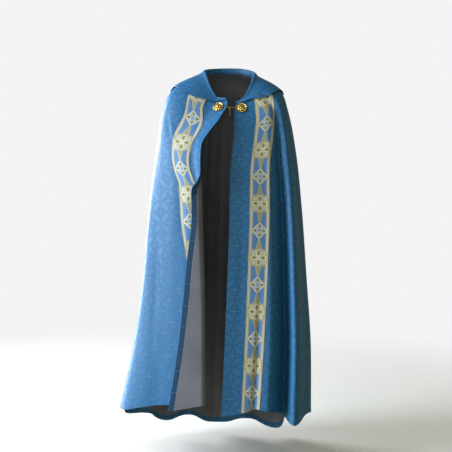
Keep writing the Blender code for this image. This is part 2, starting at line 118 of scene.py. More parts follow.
# The right front is thrown back over the forearm. From turn_x the cloth rolls outward through curl
# degrees at this radius, then runs on straight to its edge.
RIGHT_MARGIN = (
    # drop, turn_x, curl, radius, straight, dip
    (0.000, -0.0500, 4.0, 0.2000, 0.0220, 0.000),
    (0.048, -0.0780, 25.0, 0.1200, 0.0120, 0.000),
    (0.094, -0.1100, 50.0, 0.0900, 0.0000, 0.000),
    (0.138, -0.1340, 70.0, 0.0640, 0.0000, 0.000),
    (0.186, -0.1510, 84.0, 0.0500, 0.0000, 0.000),
    (0.233, -0.1500, 88.0, 0.0450, 0.0020, 0.000),
    (0.268, -0.1440, 98.0, 0.0400, 0.0040, 0.000),
    (0.290, -0.1360, 122.0, 0.0300, 0.0110, 0.000),
    (0.313, -0.1280, 150.0, 0.0210, 0.0250, 0.000),
    (0.392, -0.1250, 172.0, 0.0200, 0.0200, 0.000),
    (0.535, -0.1190, 180.0, 0.0180, 0.0440, 0.004),
    (0.662, -0.1130, 183.0, 0.0145, 0.0655, 0.008),
    (0.820, -0.1115, 186.0, 0.0140, 0.0900, 0.014),
    (1.000, -0.1120, 188.0, 0.0140, 0.1240, 0.022),
)

# The point of a level line that shows its direction at the turn, and the least run worth building
TURN_POINT = 12
LEAST_STRAIGHT = 1e-6

# Folds of the hanging cloth. A place is a share of the half round: 0 at the middle of the back, 1 at
# the left front edge, -1 where the right front turns back. Width is the reach to each side at the
# hem, depth is outward at the hem, lean is how far the fold tips toward the front there, start is the
# drop where the fold begins, and sag is how far the hem hangs lower there.
FOLDS = (
    # place at top, place at hem, width, depth, lean, start, sag
    (-0.93, -0.95, 0.045, 0.010, 0.000, 0.20, 0.000),
    (-0.79, -0.83, 0.050, -0.008, 0.000, 0.16, -0.002),
    (-0.68, -0.71, 0.040, 0.010, 0.000, 0.20, 0.004),
    (-0.58, -0.60, 0.050, -0.014, 0.000, 0.20, -0.005),
    (-0.46, -0.44, 0.044, 0.020, 0.004, 0.22, 0.026),
    (-0.36, -0.36, 0.038, -0.036, 0.000, 0.14, -0.010),
    (-0.26, -0.27, 0.040, 0.030, -0.010, 0.12, 0.026),
    (-0.15, -0.17, 0.036, -0.042, 0.000, 0.12, -0.034),
    (-0.04, -0.05, 0.044, 0.034, 0.008, 0.16, 0.012),
    (0.07, 0.07, 0.036, -0.040, 0.000, 0.10, -0.024),
    (0.17, 0.19, 0.040, 0.030, 0.010, 0.14, 0.048),
    (0.27, 0.29, 0.036, -0.036, 0.000, 0.12, -0.016),
    (0.38, 0.39, 0.046, 0.022, -0.006, 0.20, 0.008),
    (0.50, 0.52, 0.050, -0.016, 0.000, 0.20, -0.006),
    (0.64, 0.708, 0.030, 0.038, 0.032, 0.05, 0.044),
    (0.705, 0.766, 0.028, -0.056, -0.024, 0.03, 0.026),
    (0.775, 0.825, 0.022, 0.010, 0.000, 0.08, 0.008),
    (0.82, 0.875, 0.016, -0.010, 0.000, 0.60, -0.003),
)

# A fold begins at this share of its width and deepens as this power of its length. The hem's sag grows
# as a power of the drop and spreads wider than the fold.
FOLD_NARROW = 0.45
FOLD_GROWTH = 0.75
SAG_GROWTH = 4
SAG_SPREAD = 0.4

# Where the galloon's two edges lie along each level. Near the neck the levels slope toward the front
# edge, so a band of even width takes more of them.
BAND_LINES = (
    # drop, right inner, right outer, left inner, left outer
    (0.000, 0.088, 0.168, 0.082, 0.172),
    (0.045, 0.093, 0.178, 0.086, 0.186),
    (0.090, 0.074, 0.156, 0.086, 0.184),
    (0.140, 0.064, 0.148, 0.081, 0.170),
    (0.190, 0.070, 0.152, 0.079, 0.162),
    (0.240, 0.078, 0.157, 0.078, 0.156),
    (0.390, 0.071, 0.149, 0.078, 0.156),
    (1.000, 0.071, 0.149, 0.078, 0.156),
)

# Small creases laid over the folds, each a soft ridge (+) or trough (-) from one drop to
# another, in its own width and depth
CREASES = (
    # place at start, place at end, first drop, last drop, width, depth
    (-0.66, -0.80, 0.075, 0.185, 0.020, 0.0026),
    (-0.70, -0.86, 0.100, 0.215, 0.015, -0.0030),
    (-0.76, -0.95, 0.120, 0.240, 0.013, 0.0022),
    (-0.58, -0.70, 0.130, 0.300, 0.022, -0.0024),
    (-0.90, -0.93, 0.260, 0.520, 0.014, -0.0022),
    (-0.70, -0.72, 0.300, 0.780, 0.024, 0.0034),
    (-0.76, -0.79, 0.330, 0.960, 0.020, -0.0036),
    (-0.55, -0.57, 0.260, 0.640, 0.016, 0.0024),
    (0.56, 0.66, 0.060, 0.200, 0.014, -0.0022),
    (0.68, 0.70, 0.140, 0.420, 0.010, 0.0020),
    (0.66, 0.70, 0.110, 0.700, 0.009, -0.0024),
    (0.87, 0.88, 0.160, 0.520, 0.024, 0.0022),
    (0.93, 0.94, 0.300, 0.900, 0.018, -0.0020),
    (0.60, 0.64, 0.350, 0.980, 0.018, -0.0026),
    (0.46, 0.50, 0.240, 0.760, 0.020, 0.0026),
    (0.33, 0.34, 0.180, 0.700, 0.016, -0.0026),
    (0.22, 0.24, 0.260, 0.900, 0.014, 0.0022),
    (0.10, 0.14, 0.160, 0.480, 0.016, 0.0024),
    (0.01, 0.00, 0.300, 0.860, 0.013, -0.0024),
    (-0.09, -0.12, 0.150, 0.520, 0.015, -0.0026),
    (-0.21, -0.20, 0.260, 0.940, 0.014, 0.0024),
    (-0.31, -0.33, 0.180, 0.600, 0.018, 0.0022),
    (-0.41, -0.43, 0.300, 0.920, 0.014, -0.0022),
)

# How quickly a crease fades toward its ends
CREASE_FADE = 1.5

# The collar stands up at the neck, rolls over and lies on the shoulders. place is the share of the
# way from the front edge to the middle of the back, and reach is how much of the drop it covers.
COLLAR = (
    # place, reach, stand
    (0.00, 0.006, 0.004),
    (0.17, 0.020, 0.009),
    (0.30, 0.054, 0.013),
    (0.50, 0.088, 0.016),
    (0.75, 0.125, 0.019),
    (1.00, 0.140, 0.020),
)
COLLAR_DEEPEST = 0.16
COLLAR_WALL = 0.0020
COLLAR_LIFT = 0.0060
COLLAR_EDGE_LIFT = 0.0080
COLLAR_ROLL = 0.0030
COLLAR_RISE_FADE = 9.0

# Where a section's points lie on the shoulders, as shares of its reach
COLLAR_FALL = (0.0, 0.10, 0.26, 0.50, 0.75, 1.0)

# Rosettes. Each middle is given as x and z.
ROSETTE_RADIUS = 0.0210
ROSETTE_RIGHT = (-0.0455, -0.102)
ROSETTE_LEFT = (0.0430, -0.106)
SEAT_ROWS = 30
SEAT_COLUMNS = 60
SEAT_LEVEL = 0.80
SEAT_CLEAR = 1.08
ROSETTE_SPOKES = 144
ROSETTE_RINGS = 40
ROSETTE_OUTMOST = 0.985
ROSETTE_INMOST = 0.04
ROSETTE_FOOT = 0.0006
ROSETTE_SMOOTH = 60
ROSETTE_BEADS = 16
ROSETTE_PETALS = 8
SCALLOP_DEPTH = 0.055

# Relief of a rosette. Middles and reaches are shares of its radius.
ROSETTE_RELIEF = (
    # height, middle, reach, steepness, how many round
    (0.0016, 0.89, 0.085, 2, ROSETTE_BEADS),
    (0.0028, 0.88, 0.110, 4, 0),
    (0.0024, 0.52, 0.150, 2, ROSETTE_PETALS),
)
ROSETTE_ROUNDS = (
    # height, reach, roundness, of the dome and of the boss on it
    (0.0052, 0.80, 0.6),
    (0.0030, 0.24, 0.5),
)
# Relief at least this high no longer takes the gilt's painted groove shade
GROOVE_DEPTH = 0.0021

# Link and drop. A swelling is how much, how far along and its reach, all as shares of the wire. An
# eye's sizes are shares of the wire too.
LINK_WIRE = 0.0014
LINK_HEIGHT = 0.0006
LINK_FORWARD = 0.0025
LINK_START = 0.99
LINK_STEPS = 41
LINK_THIN = 0.85
LINK_SWELL = (0.35, 0.50, 0.10)
EYE_POINT = 5
EYE_WIDE = 0.4
EYE_TALL = 1.25
EYE_WIRE = 0.45
EYE_STEPS = 24
EYE_SIDES = 8
WIRE_SIDES = 14
STEEP = 0.7
DROP_RING = 0.0034
DROP_WIRE = 0.0010
DROP_LENGTH = 0.030
DROP_STEPS = 31
DROP_RING_THIN = 0.85
DROP_STEM = 1.15
DROP_TIP = 0.5
DROP_SWELLS = (
    # swelling, share of the way down, reach
    (0.0006, 0.12, 0.03),
    (0.0019, 0.84, 0.10),
    (0.0006, 0.62, 0.03),
)
AHEAD = np.array((0.0, -1.0, 0.0))
UP = np.array((0.0, 0.0, 1.0))

# Stitches
STITCH_SPACING = 0.0048
STITCH_LENGTH = 0.0030
THREAD_RADIUS = 0.00035

# Brocade chart. An edge here and in the galloon's chart is its place and its softness.
LATTICE = 0.0594
PETAL_EDGE = (0.0040, 0.0034)
RIB_EDGE = (0.0095, 0.0010)
CROSS_THREAD = (0.0009, 0.0004)
CROSS_ARM = (0.0210, 0.0008)

# Thread pitches of the weaves
TWILL_PITCH = 0.0016
SATIN_PITCH = 0.0012
LINING_PITCH = 0.0010
BAND_PITCH = 0.0011

# Galloon chart. A medallion's lengths are taken from its middle, and a border's from the band's.
BAND_REPEAT = 0.2073
BAND_START = 0.0927
BAND_SHIFT_RIGHT = 0.022
SCALLOP_OUT = 0.0270
SCALLOP_RADIUS = 0.012
SCALLOP_SHARE = 0.10
CORNER_OUT = 0.0195
LOZENGE_WIDE = 0.0310
LOZENGE_TALL = 0.0345
NECK_FOOT = 0.0340
NECK_HALF = 0.0122
NECK_TAPER = 0.235
BEAD_SPACING = 0.0080

# Ellipses of the galloon, each how far out it lies, half its width and half its height. Four round a
# middle are given as those above and below, then those at the sides.
LEAVES = ((0.0178, 0.0085, 0.0122), (0.0176, 0.0118, 0.0088))
EYES = ((0.0182, 0.0040, 0.0072), (0.0180, 0.0070, 0.0042))
BUDS = ((0.0178, 0.0046, 0.0066), (0.0172, 0.0064, 0.0048))
NECK_RING = (0.0450, 0.0046, 0.0050)
BEAD = (0.0322, 0.0036, 0.0030)

# Edges of the galloon's fields. The rim of an ellipse and of the lozenge is at 1.
DISC_EDGE = (0.0378, 0.0008)
CORNER_EDGE = (0.0052, 0.0006)
HUB_EDGE = (0.0034, 0.0008)
SPOKE_FROM = (0.0040, 0.0010)
SPOKE_TO = (0.0150, 0.0010)
HEART_EDGE = (0.0072, 0.0012)
STAR_EDGE = (0.0200, 0.0010)
NECK_SIDE = (0.0, 0.0006)
NECK_START = (NECK_FOOT, 0.0006)
BORDER_EDGE = (0.0264, 0.0004)
SELVAGE = (0.0374, 0.0004)
LEAF_EDGE = (1.0, 0.06)
EYE_EDGE = (1.0, 0.15)
LOZENGE_EDGE = (1.0, 0.03)
BUD_EDGE = (1.0, 0.12)
BUD_ROOM = (0.90, 0.03)
BEAD_EDGE = (1.0, 0.25)

# Strokes of the galloon, each its place, half its width and its softness
DISC_RING = (0.0345, 0.0010, 0.0006)
DISC_OUTLINE = (0.0372, 0.0008, 0.0006)
CORNER_LINE = (0.0056, 0.0008, 0.0004)
SPOKE = (0.0, 0.0012, 0.0006)
NECK_EDGE = (0.0012, 0.0009, 0.0005)
BORDER_LINE = (0.0272, 0.0008, 0.0004)
LEAF_LINE = (1.0, 0.10, 0.06)
LOZENGE_LINE = (0.93, 0.055, 0.03)
BUD_LINE = (1.35, 0.16, 0.10)
NECK_RING_LINE = (1.0, 0.25, 0.12)

# Where noise turns into flecks, each a level and its softness
SAGE_FLECKS = (0.50, 0.08)
FIELD_FLECKS = (0.52, 0.06)
GOLD_FLECKS = (0.60, 0.08)
WORN_SPOTS = (0.58, 0.10)

# How each material takes the light
FINISHES = {
    # material: roughness, sheen, depth of the fine relief, its strength
    "brocade": (0.48, 0.06, 0.0004, 0.45),
    "lining": (0.42, 0.15, 0.0003, 0.40),
    "galloon": (0.48, 0.10, 0.0005, 0.70),
    "gilt": (0.16, 0.0, 0.0002, 0.35),
    "thread": (0.55, 0.0, 0.0002, 0.50),
}


def smooth_columns(table, at):
    """The columns of a table at these values of its first column, on smooth curves."""
    table = np.array(table)
    knots = table[:, 0]
    values = table[:, 1:]
    steps = np.diff(knots)[:, None]
    rises = np.diff(values, axis=0) / steps
    slopes = np.vstack((rises[:1], (rises[1:] + rises[:-1]) / 2, rises[-1:]))
    flat = (rises[1:] * rises[:-1]) <= 0
    slopes[1:-1][flat] = 0.0
    at = np.clip(np.atleast_1d(at), knots[0], knots[-1])
    low = np.clip(np.searchsorted(knots, at, side="right") - 1, 0, len(knots) - 2)
    span = steps[low]
    t = (at[:, None] - knots[low][:, None]) / span
    return (values[low] * (1 + 2 * t) * (1 - t) ** 2
            + values[low + 1] * t * t * (3 - 2 * t)
            + slopes[low] * span * t * (1 - t) ** 2
            + slopes[low + 1] * span * t * t * (t - 1))


def signed_power(value, exponent):
    """A power of the value's size that keeps its sign."""
    return np.sign(value) * np.abs(value) ** exponent


def half_ring(drop, side):
    """Points on one side at one level, from the front edge or turn round to the middle of the back."""
    row = smooth_columns(SECTIONS, drop)[0]
    right, left, front_right, front_left, back, z_front, z_right, z_left, z_back, square = row
    if side < 0:
        half, front, z_side = right, front_right, z_right
        start = -smooth_columns(RIGHT_MARGIN, drop)[0][0]
    else:
        half, front, z_side = left, front_left, z_left
        start, dip = smooth_columns(LEFT_EDGE, drop)[0]
    first = math.asin(signed_power(start / half, square / 2))
    angle = np.linspace(first, math.pi, TRACE)
    ahead = angle < math.pi / 2
    power = 2 / np.where(ahead, square, SQUARE_BACK)
    x = side * half * signed_power(np.sin(angle), power)
    y = -np.where(ahead, front, back) * signed_power(np.cos(angle), power)
    level = np.where(ahead, z_front, z_back)
    z = z_side + (level - z_side) * np.abs(np.cos(angle)) ** np.where(ahead, LEVEL_AHEAD, LEVEL_BEHIND)
    if side > 0:
        z -= dip * ahead * np.exp(-((x - start) / LEFT_DIP_REACH) ** 2)
    return np.column_stack((x, y, z))


def run_length(points):
    """How far along a line each of its points lies."""
    return np.concatenate(([0.0], np.cumsum(np.linalg.norm(np.diff(points, axis=0), axis=1))))


def at_distances(line, length, at):
    """The points of a line at these distances along it."""
    return np.column_stack([np.interp(at, length, line[:, k]) for k in range(3)])


def crease_push(place, drop, length):
    """How far the creases push each place of a level line outward."""
    push = np.zeros(len(place))
    for begin, end, first, last, width, depth in CREASES:
        t = (drop - first) / (last - first)
        if 0 < t < 1:
            middle = begin + (end - begin) * t
            fade = math.sin(math.pi * t) ** CREASE_FADE
            push += depth * fade * np.exp(-((place - middle) * length / width) ** 2)
    return push


def folded(points, drop, side):
    """A half ring with the folds and creases pushed out of and into it."""
    length = run_length(points)
    place = side * (1 - length / length[-1])
    even = np.linspace(0, length[-1], TRACE)
    points = at_distances(points, length, even)
    place = np.interp(even, length, place)
    along = np.gradient(points[:, :2], axis=0)
    along /= np.linalg.norm(along, axis=1)[:, None]
    out = side * np.column_stack((along[:, 1], -along[:, 0]))
    push = np.zeros(TRACE)
    lean_in = np.zeros(TRACE)
    lower = np.zeros(TRACE)
    for top, hem, width, depth, lean, start, sag in FOLDS:
        grown = np.clip((drop - start) / (1 - start), 0, 1)
        middle = top + (hem - top) * drop
        reach = width * (FOLD_NARROW + (1 - FOLD_NARROW) * grown)
        bulge = np.exp(-((place - middle) * length[-1] / reach) ** 2)
        push += depth * grown ** FOLD_GROWTH * bulge
        lean_in += lean * grown ** FOLD_GROWTH * bulge
        lower += sag * drop ** SAG_GROWTH * bulge ** SAG_SPREAD
    push += crease_push(place, drop, length[-1])
    points[:, :2] += out * push[:, None] - along * lean_in[:, None]
    points[:, 2] -= lower
    return points


def margin(points, drop):
    """The turned back edge of the right front, from its free edge to the point where it begins."""
    curl, radius, straight, dip = smooth_columns(RIGHT_MARGIN, drop)[0][1:]
    curl = math.radians(curl)
    ahead = points[0] - points[TURN_POINT]
    ahead[2] = 0.0
    ahead /= np.linalg.norm(ahead)
    forward = np.array((ahead[1], -ahead[0], 0.0))
    turned = np.linspace(curl, 0, CURL_POINTS)
    arc = (points[0] + radius * np.sin(turned)[:, None] * ahead
           + radius * (1 - np.cos(turned))[:, None] * forward)
    if straight < LEAST_STRAIGHT:
        return arc
    last = math.cos(curl) * ahead + math.sin(curl) * forward
    last[2] = -dip / straight
    run = np.linspace(straight, 0, RUN_POINTS, endpoint=False)
    return np.vstack((arc[0] + run[:, None] * last, arc))


def level_line(drop, side):
    """One level of the cloth from its front edge to the middle of the back."""
    points = folded(half_ring(drop, side), drop, side)
    if side < 0:
        points = np.vstack((margin(points, drop), points[1:]))
    return points


def grid_outs(points):
    """Unit directions across a grid of points, out of its front."""
    outs = np.cross(np.gradient(points, axis=0), np.gradient(points, axis=1))
    return outs / np.linalg.norm(outs, axis=2)[:, :, None]


def flat_chart(points, start):
    """Where each point of a panel lies on its flat cloth: how far across from the start column, and how
    far down it."""
    down = np.gradient(points, axis=0)
    down /= np.linalg.norm(down, axis=2)[:, :, None]
    steps = np.diff(points, axis=1)
    along = (steps * (down[:, 1:] + down[:, :-1]) / 2).sum(axis=2)
    across = np.sqrt(np.maximum((steps ** 2).sum(axis=2) - along ** 2, 0))
    first = np.zeros((points.shape[0], 1))
    along = np.concatenate((first, np.cumsum(along, axis=1)), axis=1)
    across = np.concatenate((first, np.cumsum(across, axis=1)), axis=1)
    length = run_length(points[:, start])
    fallen = np.linalg.norm(np.diff(points, axis=0), axis=2).cumsum(axis=0)
    fallen = np.concatenate((np.zeros((1, points.shape[1])), fallen))
    rise = along - along[:, start:start + 1] + length[:, None] - fallen
    return np.stack((across - across[:, start:start + 1], fallen + eased(rise)), axis=2)


def eased(values):
    """Each column's values smoothed down the rows, so that the weave doesn't jump between them."""
    reach = 3 * EASE_ROWS
    weights = np.exp(-(np.arange(-reach, reach + 1) / EASE_ROWS) ** 2 / 2)
    padded = np.pad(values, ((reach, reach), (0, 0)), mode="reflect", reflect_type="odd")
    return sum(weight * padded[k:k + len(values)] for k, weight in enumerate(weights)) / weights.sum()


def band_lines(drop, side):
    """Where the galloon's inner and outer edges lie at this drop, from the front edge."""
    places = smooth_columns(BAND_LINES, drop)[0]
    return places[:2] if side < 0 else places[2:]


def cloth(drops, columns, side):
    """Points and outward directions where these levels meet these distances from the front edge.
    columns(length, lines) gives the distances for a level line that is so long, where the galloon's
    edges lie at these two lines."""
    places = []
    for drop in drops:
        line = level_line(drop, side)
        length = run_length(line)
        places.append(at_distances(line, length, columns(length, band_lines(drop, side))))
    points = np.array(places)
    return points, side * grid_outs(points)


def seam_length(length):
    """How far from the front edge the side seam is: the back narrows toward the neck."""
    return SEAM_START + SEAM_SHARE * length[-1]


def near_columns():
    """Even columns to the galloon's far edge, with one at each edge of the facing and the galloon."""
    marks = (0.0, FACING_WIDTH, GALLOON_INSET, GALLOON_END)
    columns = [np.array([0.0])]
    for low, high in zip(marks, marks[1:]):
        count = round((high - low) / NEAR_STEP)
        columns.append(np.linspace(low, high, count + 1)[1:])
    return np.concatenate(columns)


NEAR = near_columns()
FACING_COLUMN = int(np.argmin(np.abs(NEAR - FACING_WIDTH)))
BAND_COLUMN = int(np.argmin(np.abs(NEAR - GALLOON_INSET)))
BAND_MIDDLE = (BAND_COLUMN + len(NEAR) - 1) // 2


def front_columns(length, lines):
    """Distances for a front: its near columns, then even ones to the side seam."""
    near = np.interp(NEAR, (0.0, FACING_WIDTH, GALLOON_INSET, GALLOON_END), (0.0, FACING_WIDTH, *lines))
    end = seam_length(length) - SIDE_SEAM / 2
    return np.concatenate((near, near[-1] + (end - near[-1]) * np.arange(1, FRONT_REST + 1) / FRONT_REST))


def back_half_columns(length, lines):
    """Even distances for half the back, from the side seam to the middle."""
    start = seam_length(length) + SIDE_SEAM / 2
    return start + (length[-1] - start) * np.arange(BACK_HALF + 1) / BACK_HALF


def back_cloth(drops):
    """The back panel from the right seam to the left seam."""
    right, right_out = cloth(drops, back_half_columns, -1)
    left, left_out = cloth(drops, back_half_columns, 1)
    middle = (right_out[:, -1:] + left_out[:, -1:]) / 2
    middle /= np.linalg.norm(middle, axis=2)[:, :, None]
    points = np.concatenate((right[:, :-1], (right[:, -1:] + left[:, -1:]) / 2, left[:, -2::-1]), axis=1)
    outs = np.concatenate((right_out[:, :-1], middle, left_out[:, -2::-1]), axis=1)
    return points, outs, flat_chart(points, BACK_HALF)


def add_mesh(name, vertices, faces, materials, flat=None, slots=None, smooth_angle=SMOOTH_ANGLE):
    """An object at the origin from vertices and faces, with a flat place for each vertex."""
    mesh = bpy.data.meshes.new(name)
    mesh.from_pydata([tuple(v) for v in vertices], [], faces)
    mesh.shade_smooth()
    mesh.set_sharp_from_angle(angle=math.radians(smooth_angle))
    for finish in materials:
        mesh.materials.append(finish)
    if slots is not None:
        mesh.polygons.foreach_set("material_index", slots)
    if flat is not None:
        layer = mesh.uv_layers.new(name="cloth")
        corners = np.empty(len(mesh.loops), dtype=np.int64)
        mesh.loops.foreach_get("vertex_index", corners)
        layer.data.foreach_set("uv", flat[corners].ravel())
    made = bpy.data.objects.new(name, mesh)
    bpy.context.scene.collection.objects.link(made)
    return made


def ring_faces(rings, sides, closed=False):
    """Quads between rings of points that follow one another, and back to the first one if closed."""
    faces = []
    for i in range(rings if closed else rings - 1):
        here, above = i * sides, (i + 1) % rings * sides
        for k in range(sides):
            after = (k + 1) % sides
            faces.append([here + k, here + after, above + after, above + k])
    return faces


def turned_over(faces):
    """The same faces seen from their other side."""
    return [face[::-1] for face in faces]


def rim_of(rows, columns):
    """The grid places round the edge of a piece, in order."""
    down = [(i, 0) for i in range(rows)]
    across = [(rows - 1, j) for j in range(1, columns)]
    up = [(i, columns - 1) for i in range(rows - 2, -1, -1)]
    back = [(0, j) for j in range(columns - 2, 0, -1)]
    return down + across + up + back


def cloth_piece(name, points, outs, flat, low, high, finish, inside, flip):
    """A closed layer of cloth between two distances out from the middle of the shell. Its edges are
    rounded, and its outer and inner faces may differ in finish."""
    rows, columns = points.shape[:2]
    count = rows * columns
    middle = points + outs * (low + high) / 2
    tight = points.copy()
    tight[:, 0] += toward(points[:, 1] - points[:, 0])
    tight[:, -1] += toward(points[:, -2] - points[:, -1])
    tight[0] += toward(points[1] - points[0])
    tight[-1] += toward(points[-2] - points[-1])
    rim = rim_of(rows, columns)
    at = np.array([i * columns + j for i, j in rim])
    outer = (tight + outs * high).reshape(-1, 3)
    inner = (tight + outs * low).reshape(-1, 3)
    vertices = np.concatenate((outer, inner, middle.reshape(-1, 3)[at]))
    places = flat.reshape(-1, 2)
    places = np.concatenate((places, places, places[at]))
    here = np.arange(rows - 1)[:, None] * columns + np.arange(columns - 1)
    quads = np.stack((here, here + columns, here + columns + 1, here + 1), axis=2).reshape(-1, 4)
    after = np.roll(at, -1)
    ring = 2 * count + np.arange(len(at))
    ring_after = np.roll(ring, -1)
    upper = np.stack((at, ring, ring_after, after), axis=1)
    lower = np.stack((ring, at + count, after + count, ring_after), axis=1)
    outer_faces = np.concatenate((quads, upper[:, ::-1], lower[:, ::-1]))
    inner_faces = quads[:, ::-1] + count
    faces = np.concatenate((outer_faces, inner_faces))
    if flip:
        faces = faces[:, ::-1]
    slots = [0] * len(outer_faces) + [1 if inside else 0] * len(inner_faces)
    materials = [finish, inside] if inside else [finish]
    return add_mesh(name, vertices, faces.tolist(), materials, places, slots)


def toward(steps, distance=EDGE_ROUND):
    """Steps of this length in the given directions."""
    return steps / np.linalg.norm(steps, axis=1)[:, None] * distance


class Number:
    """A number that a material works out at each point, so that a chart reads as plain arithmetic."""

    def __init__(self, tree, socket):
        self.tree = tree
        self.socket = socket

    def work(self, operation, *others):
        node = self.tree.nodes.new("ShaderNodeMath")
        node.operation = operation
        for socket, value in zip(node.inputs, (self, *others)):
            feed(self.tree, socket, value)
        return Number(self.tree, node.outputs[0])

    def __add__(self, other):
        return self.work("ADD", other)

    def __sub__(self, other):
        return self.work("SUBTRACT", other)

    def __mul__(self, other):
        return self.work("MULTIPLY", other)

    def __truediv__(self, other):
        return self.work("DIVIDE", other)

    def size(self):
        return self.work("ABSOLUTE")

    def wrap(self, low, high):
        return self.work("WRAP", high, low)

    def wave(self, length):
        return (self * (2 * math.pi / length)).work("SINE")

    def least(self, other):
        return self.work("MINIMUM", other)

    def most(self, other):
        return self.work("MAXIMUM", other)

    def above(self, level, soft):
        """1 where the number is above the level and 0 below it, with a soft step."""
        node = self.tree.nodes.new("ShaderNodeMapRange")
        node.interpolation_type = "SMOOTHSTEP"
        feed(self.tree, node.inputs["Value"], self)
        node.inputs["From Min"].default_value = level - soft
        node.inputs["From Max"].default_value = level + soft
        return Number(self.tree, node.outputs["Result"])

    def below(self, level, soft):
        return self.above(level, soft) * -1 + 1


def feed(tree, socket, value):
    """Gives a socket a number that is worked out, or a plain value."""
    if isinstance(value, Number):
        tree.links.new(value.socket, socket)
    else:
        socket.default_value = value


def far(x, y):
    """Distance from the middle."""
    return (x * x + y * y).work("SQRT")


def new_material(name):
    """A material with its tree and its shader."""
    made = bpy.data.materials.new(name)
    made.use_nodes = True
    return made.node_tree, made.node_tree.nodes["Principled BSDF"], made


def flat_place(tree):
    """Across and down on the flat cloth, in metres."""
    place = tree.nodes.new("ShaderNodeUVMap")
    place.uv_map = "cloth"
    split = tree.nodes.new("ShaderNodeSeparateXYZ")
    tree.links.new(place.outputs[0], split.inputs[0])
    return Number(tree, split.outputs[0]), Number(tree, split.outputs[1])


def grain(tree, scale, detail):
    """Even noise in the object's own space."""
    place = tree.nodes.new("ShaderNodeTexCoord")
    noise = tree.nodes.new("ShaderNodeTexNoise")
    noise.inputs["Scale"].default_value = scale
    noise.inputs["Detail"].default_value = detail
    tree.links.new(place.outputs["Object"], noise.inputs["Vector"])
    return Number(tree, noise.outputs[0])


def blend(tree, amount, first, second):
    """A colour between two others, each a colour or another blend's output."""
    node = tree.nodes.new("ShaderNodeMix")
    node.data_type = "RGBA"
    feed(tree, node.inputs[0], amount)
    for socket, colour in ((node.inputs[6], first), (node.inputs[7], second)):
        if isinstance(colour, tuple):
            socket.default_value = (*colour, 1.0)
        else:
            tree.links.new(colour, socket)
    return node.outputs[2]


def thread_weave(across, down, pitch):
    """Plain weave: over and under threads at this pitch."""
    return across.wave(pitch) * down.wave(pitch)


# How far out the floor has half turned into the backdrop, and how softly
FLOOR_TURN = 1.9
FLOOR_FADE = 1.3

# Colours, as linear light
BLUE_GROUND = (0.014, 0.104, 0.258)
BLUE_PETAL = (0.023, 0.134, 0.314)
BLUE_CROSS = (0.095, 0.240, 0.370)
# Half as bright as the brocade's own blues: painted shade for the facing on the turned-back edge
FACING_SHADE_BLUE = (0.010, 0.050, 0.125)
FACING_SHADE_PETAL = (0.013, 0.060, 0.142)
SHEEN_BLUE = (0.50, 0.72, 0.95, 1.0)
LINING_COLOUR = (0.080, 0.084, 0.118)
LINING_PALE = (0.215, 0.225, 0.290)
CREAM = (0.500, 0.480, 0.350)
PALE = (0.640, 0.640, 0.590)
GOLD_THREAD = (0.360, 0.270, 0.085)
OLIVE = (0.170, 0.165, 0.050)
SAGE = (0.300, 0.320, 0.220)
LAVENDER = (0.360, 0.400, 0.480)
ROYAL = (0.055, 0.190, 0.470)
HEART_BLUE = (0.200, 0.330, 0.620)
BORDER_GREY = (0.330, 0.350, 0.350)
LEAF_GOLD = (0.470, 0.400, 0.210)
GILT = (0.740, 0.520, 0.170)
GILT_WORN = (0.480, 0.270, 0.060)
# Dark brown painted into the gilt's grooves as shade
GROOVE_SHADE = (0.050, 0.034, 0.008)
THREAD_DARK = (0.40, 0.34, 0.20)
THREAD_PALE = (0.62, 0.56, 0.40)
STUDIO_WHITE = (0.90, 0.90, 0.90)
FLOOR_GREY = (0.62, 0.62, 0.62)
FLOOR_PALE = (0.66, 0.66, 0.66)
BLACK = (0.0, 0.0, 0.0)


def stroke(value, at, half_width, soft):
    """1 on a line where the value is at this level, 0 off it."""
    return (value - at).size().below(half_width, soft)


def ellipse(x, y, wide, tall):
    """Below 1 inside an ellipse with these half sizes."""
    return far(x / wide, y / tall)


def four(x, y, motif):
    """The nearest of four ellipses round a middle, below 1 inside it."""
    (above, wide, tall), (aside, broad, high) = motif
    return ellipse(x, y.size() - above, wide, tall).least(ellipse(x.size() - aside, y, broad, high))


def coats(tree, colour, *layers):
    """A colour under several coats, each an amount and a colour."""
    for amount, coat in layers:
        colour = blend(tree, amount, colour, coat)
    return colour


def dress(tree, shader, finish, colour, dullness, height):
    """Gives a shader its colour, roughness, sheen and fine relief. Dullness adds to the roughness."""
    roughness, sheen, depth, strength = FINISHES[finish]
    tree.links.new(colour, shader.inputs["Base Color"])
    feed(tree, shader.inputs["Roughness"], dullness + roughness)
    shader.inputs["Sheen Weight"].default_value = sheen
    bump = tree.nodes.new("ShaderNodeBump")
    bump.inputs["Strength"].default_value = strength
    bump.inputs["Distance"].default_value = depth
    feed(tree, bump.inputs["Height"], height)
    tree.links.new(bump.outputs[0], shader.inputs["Normal"])


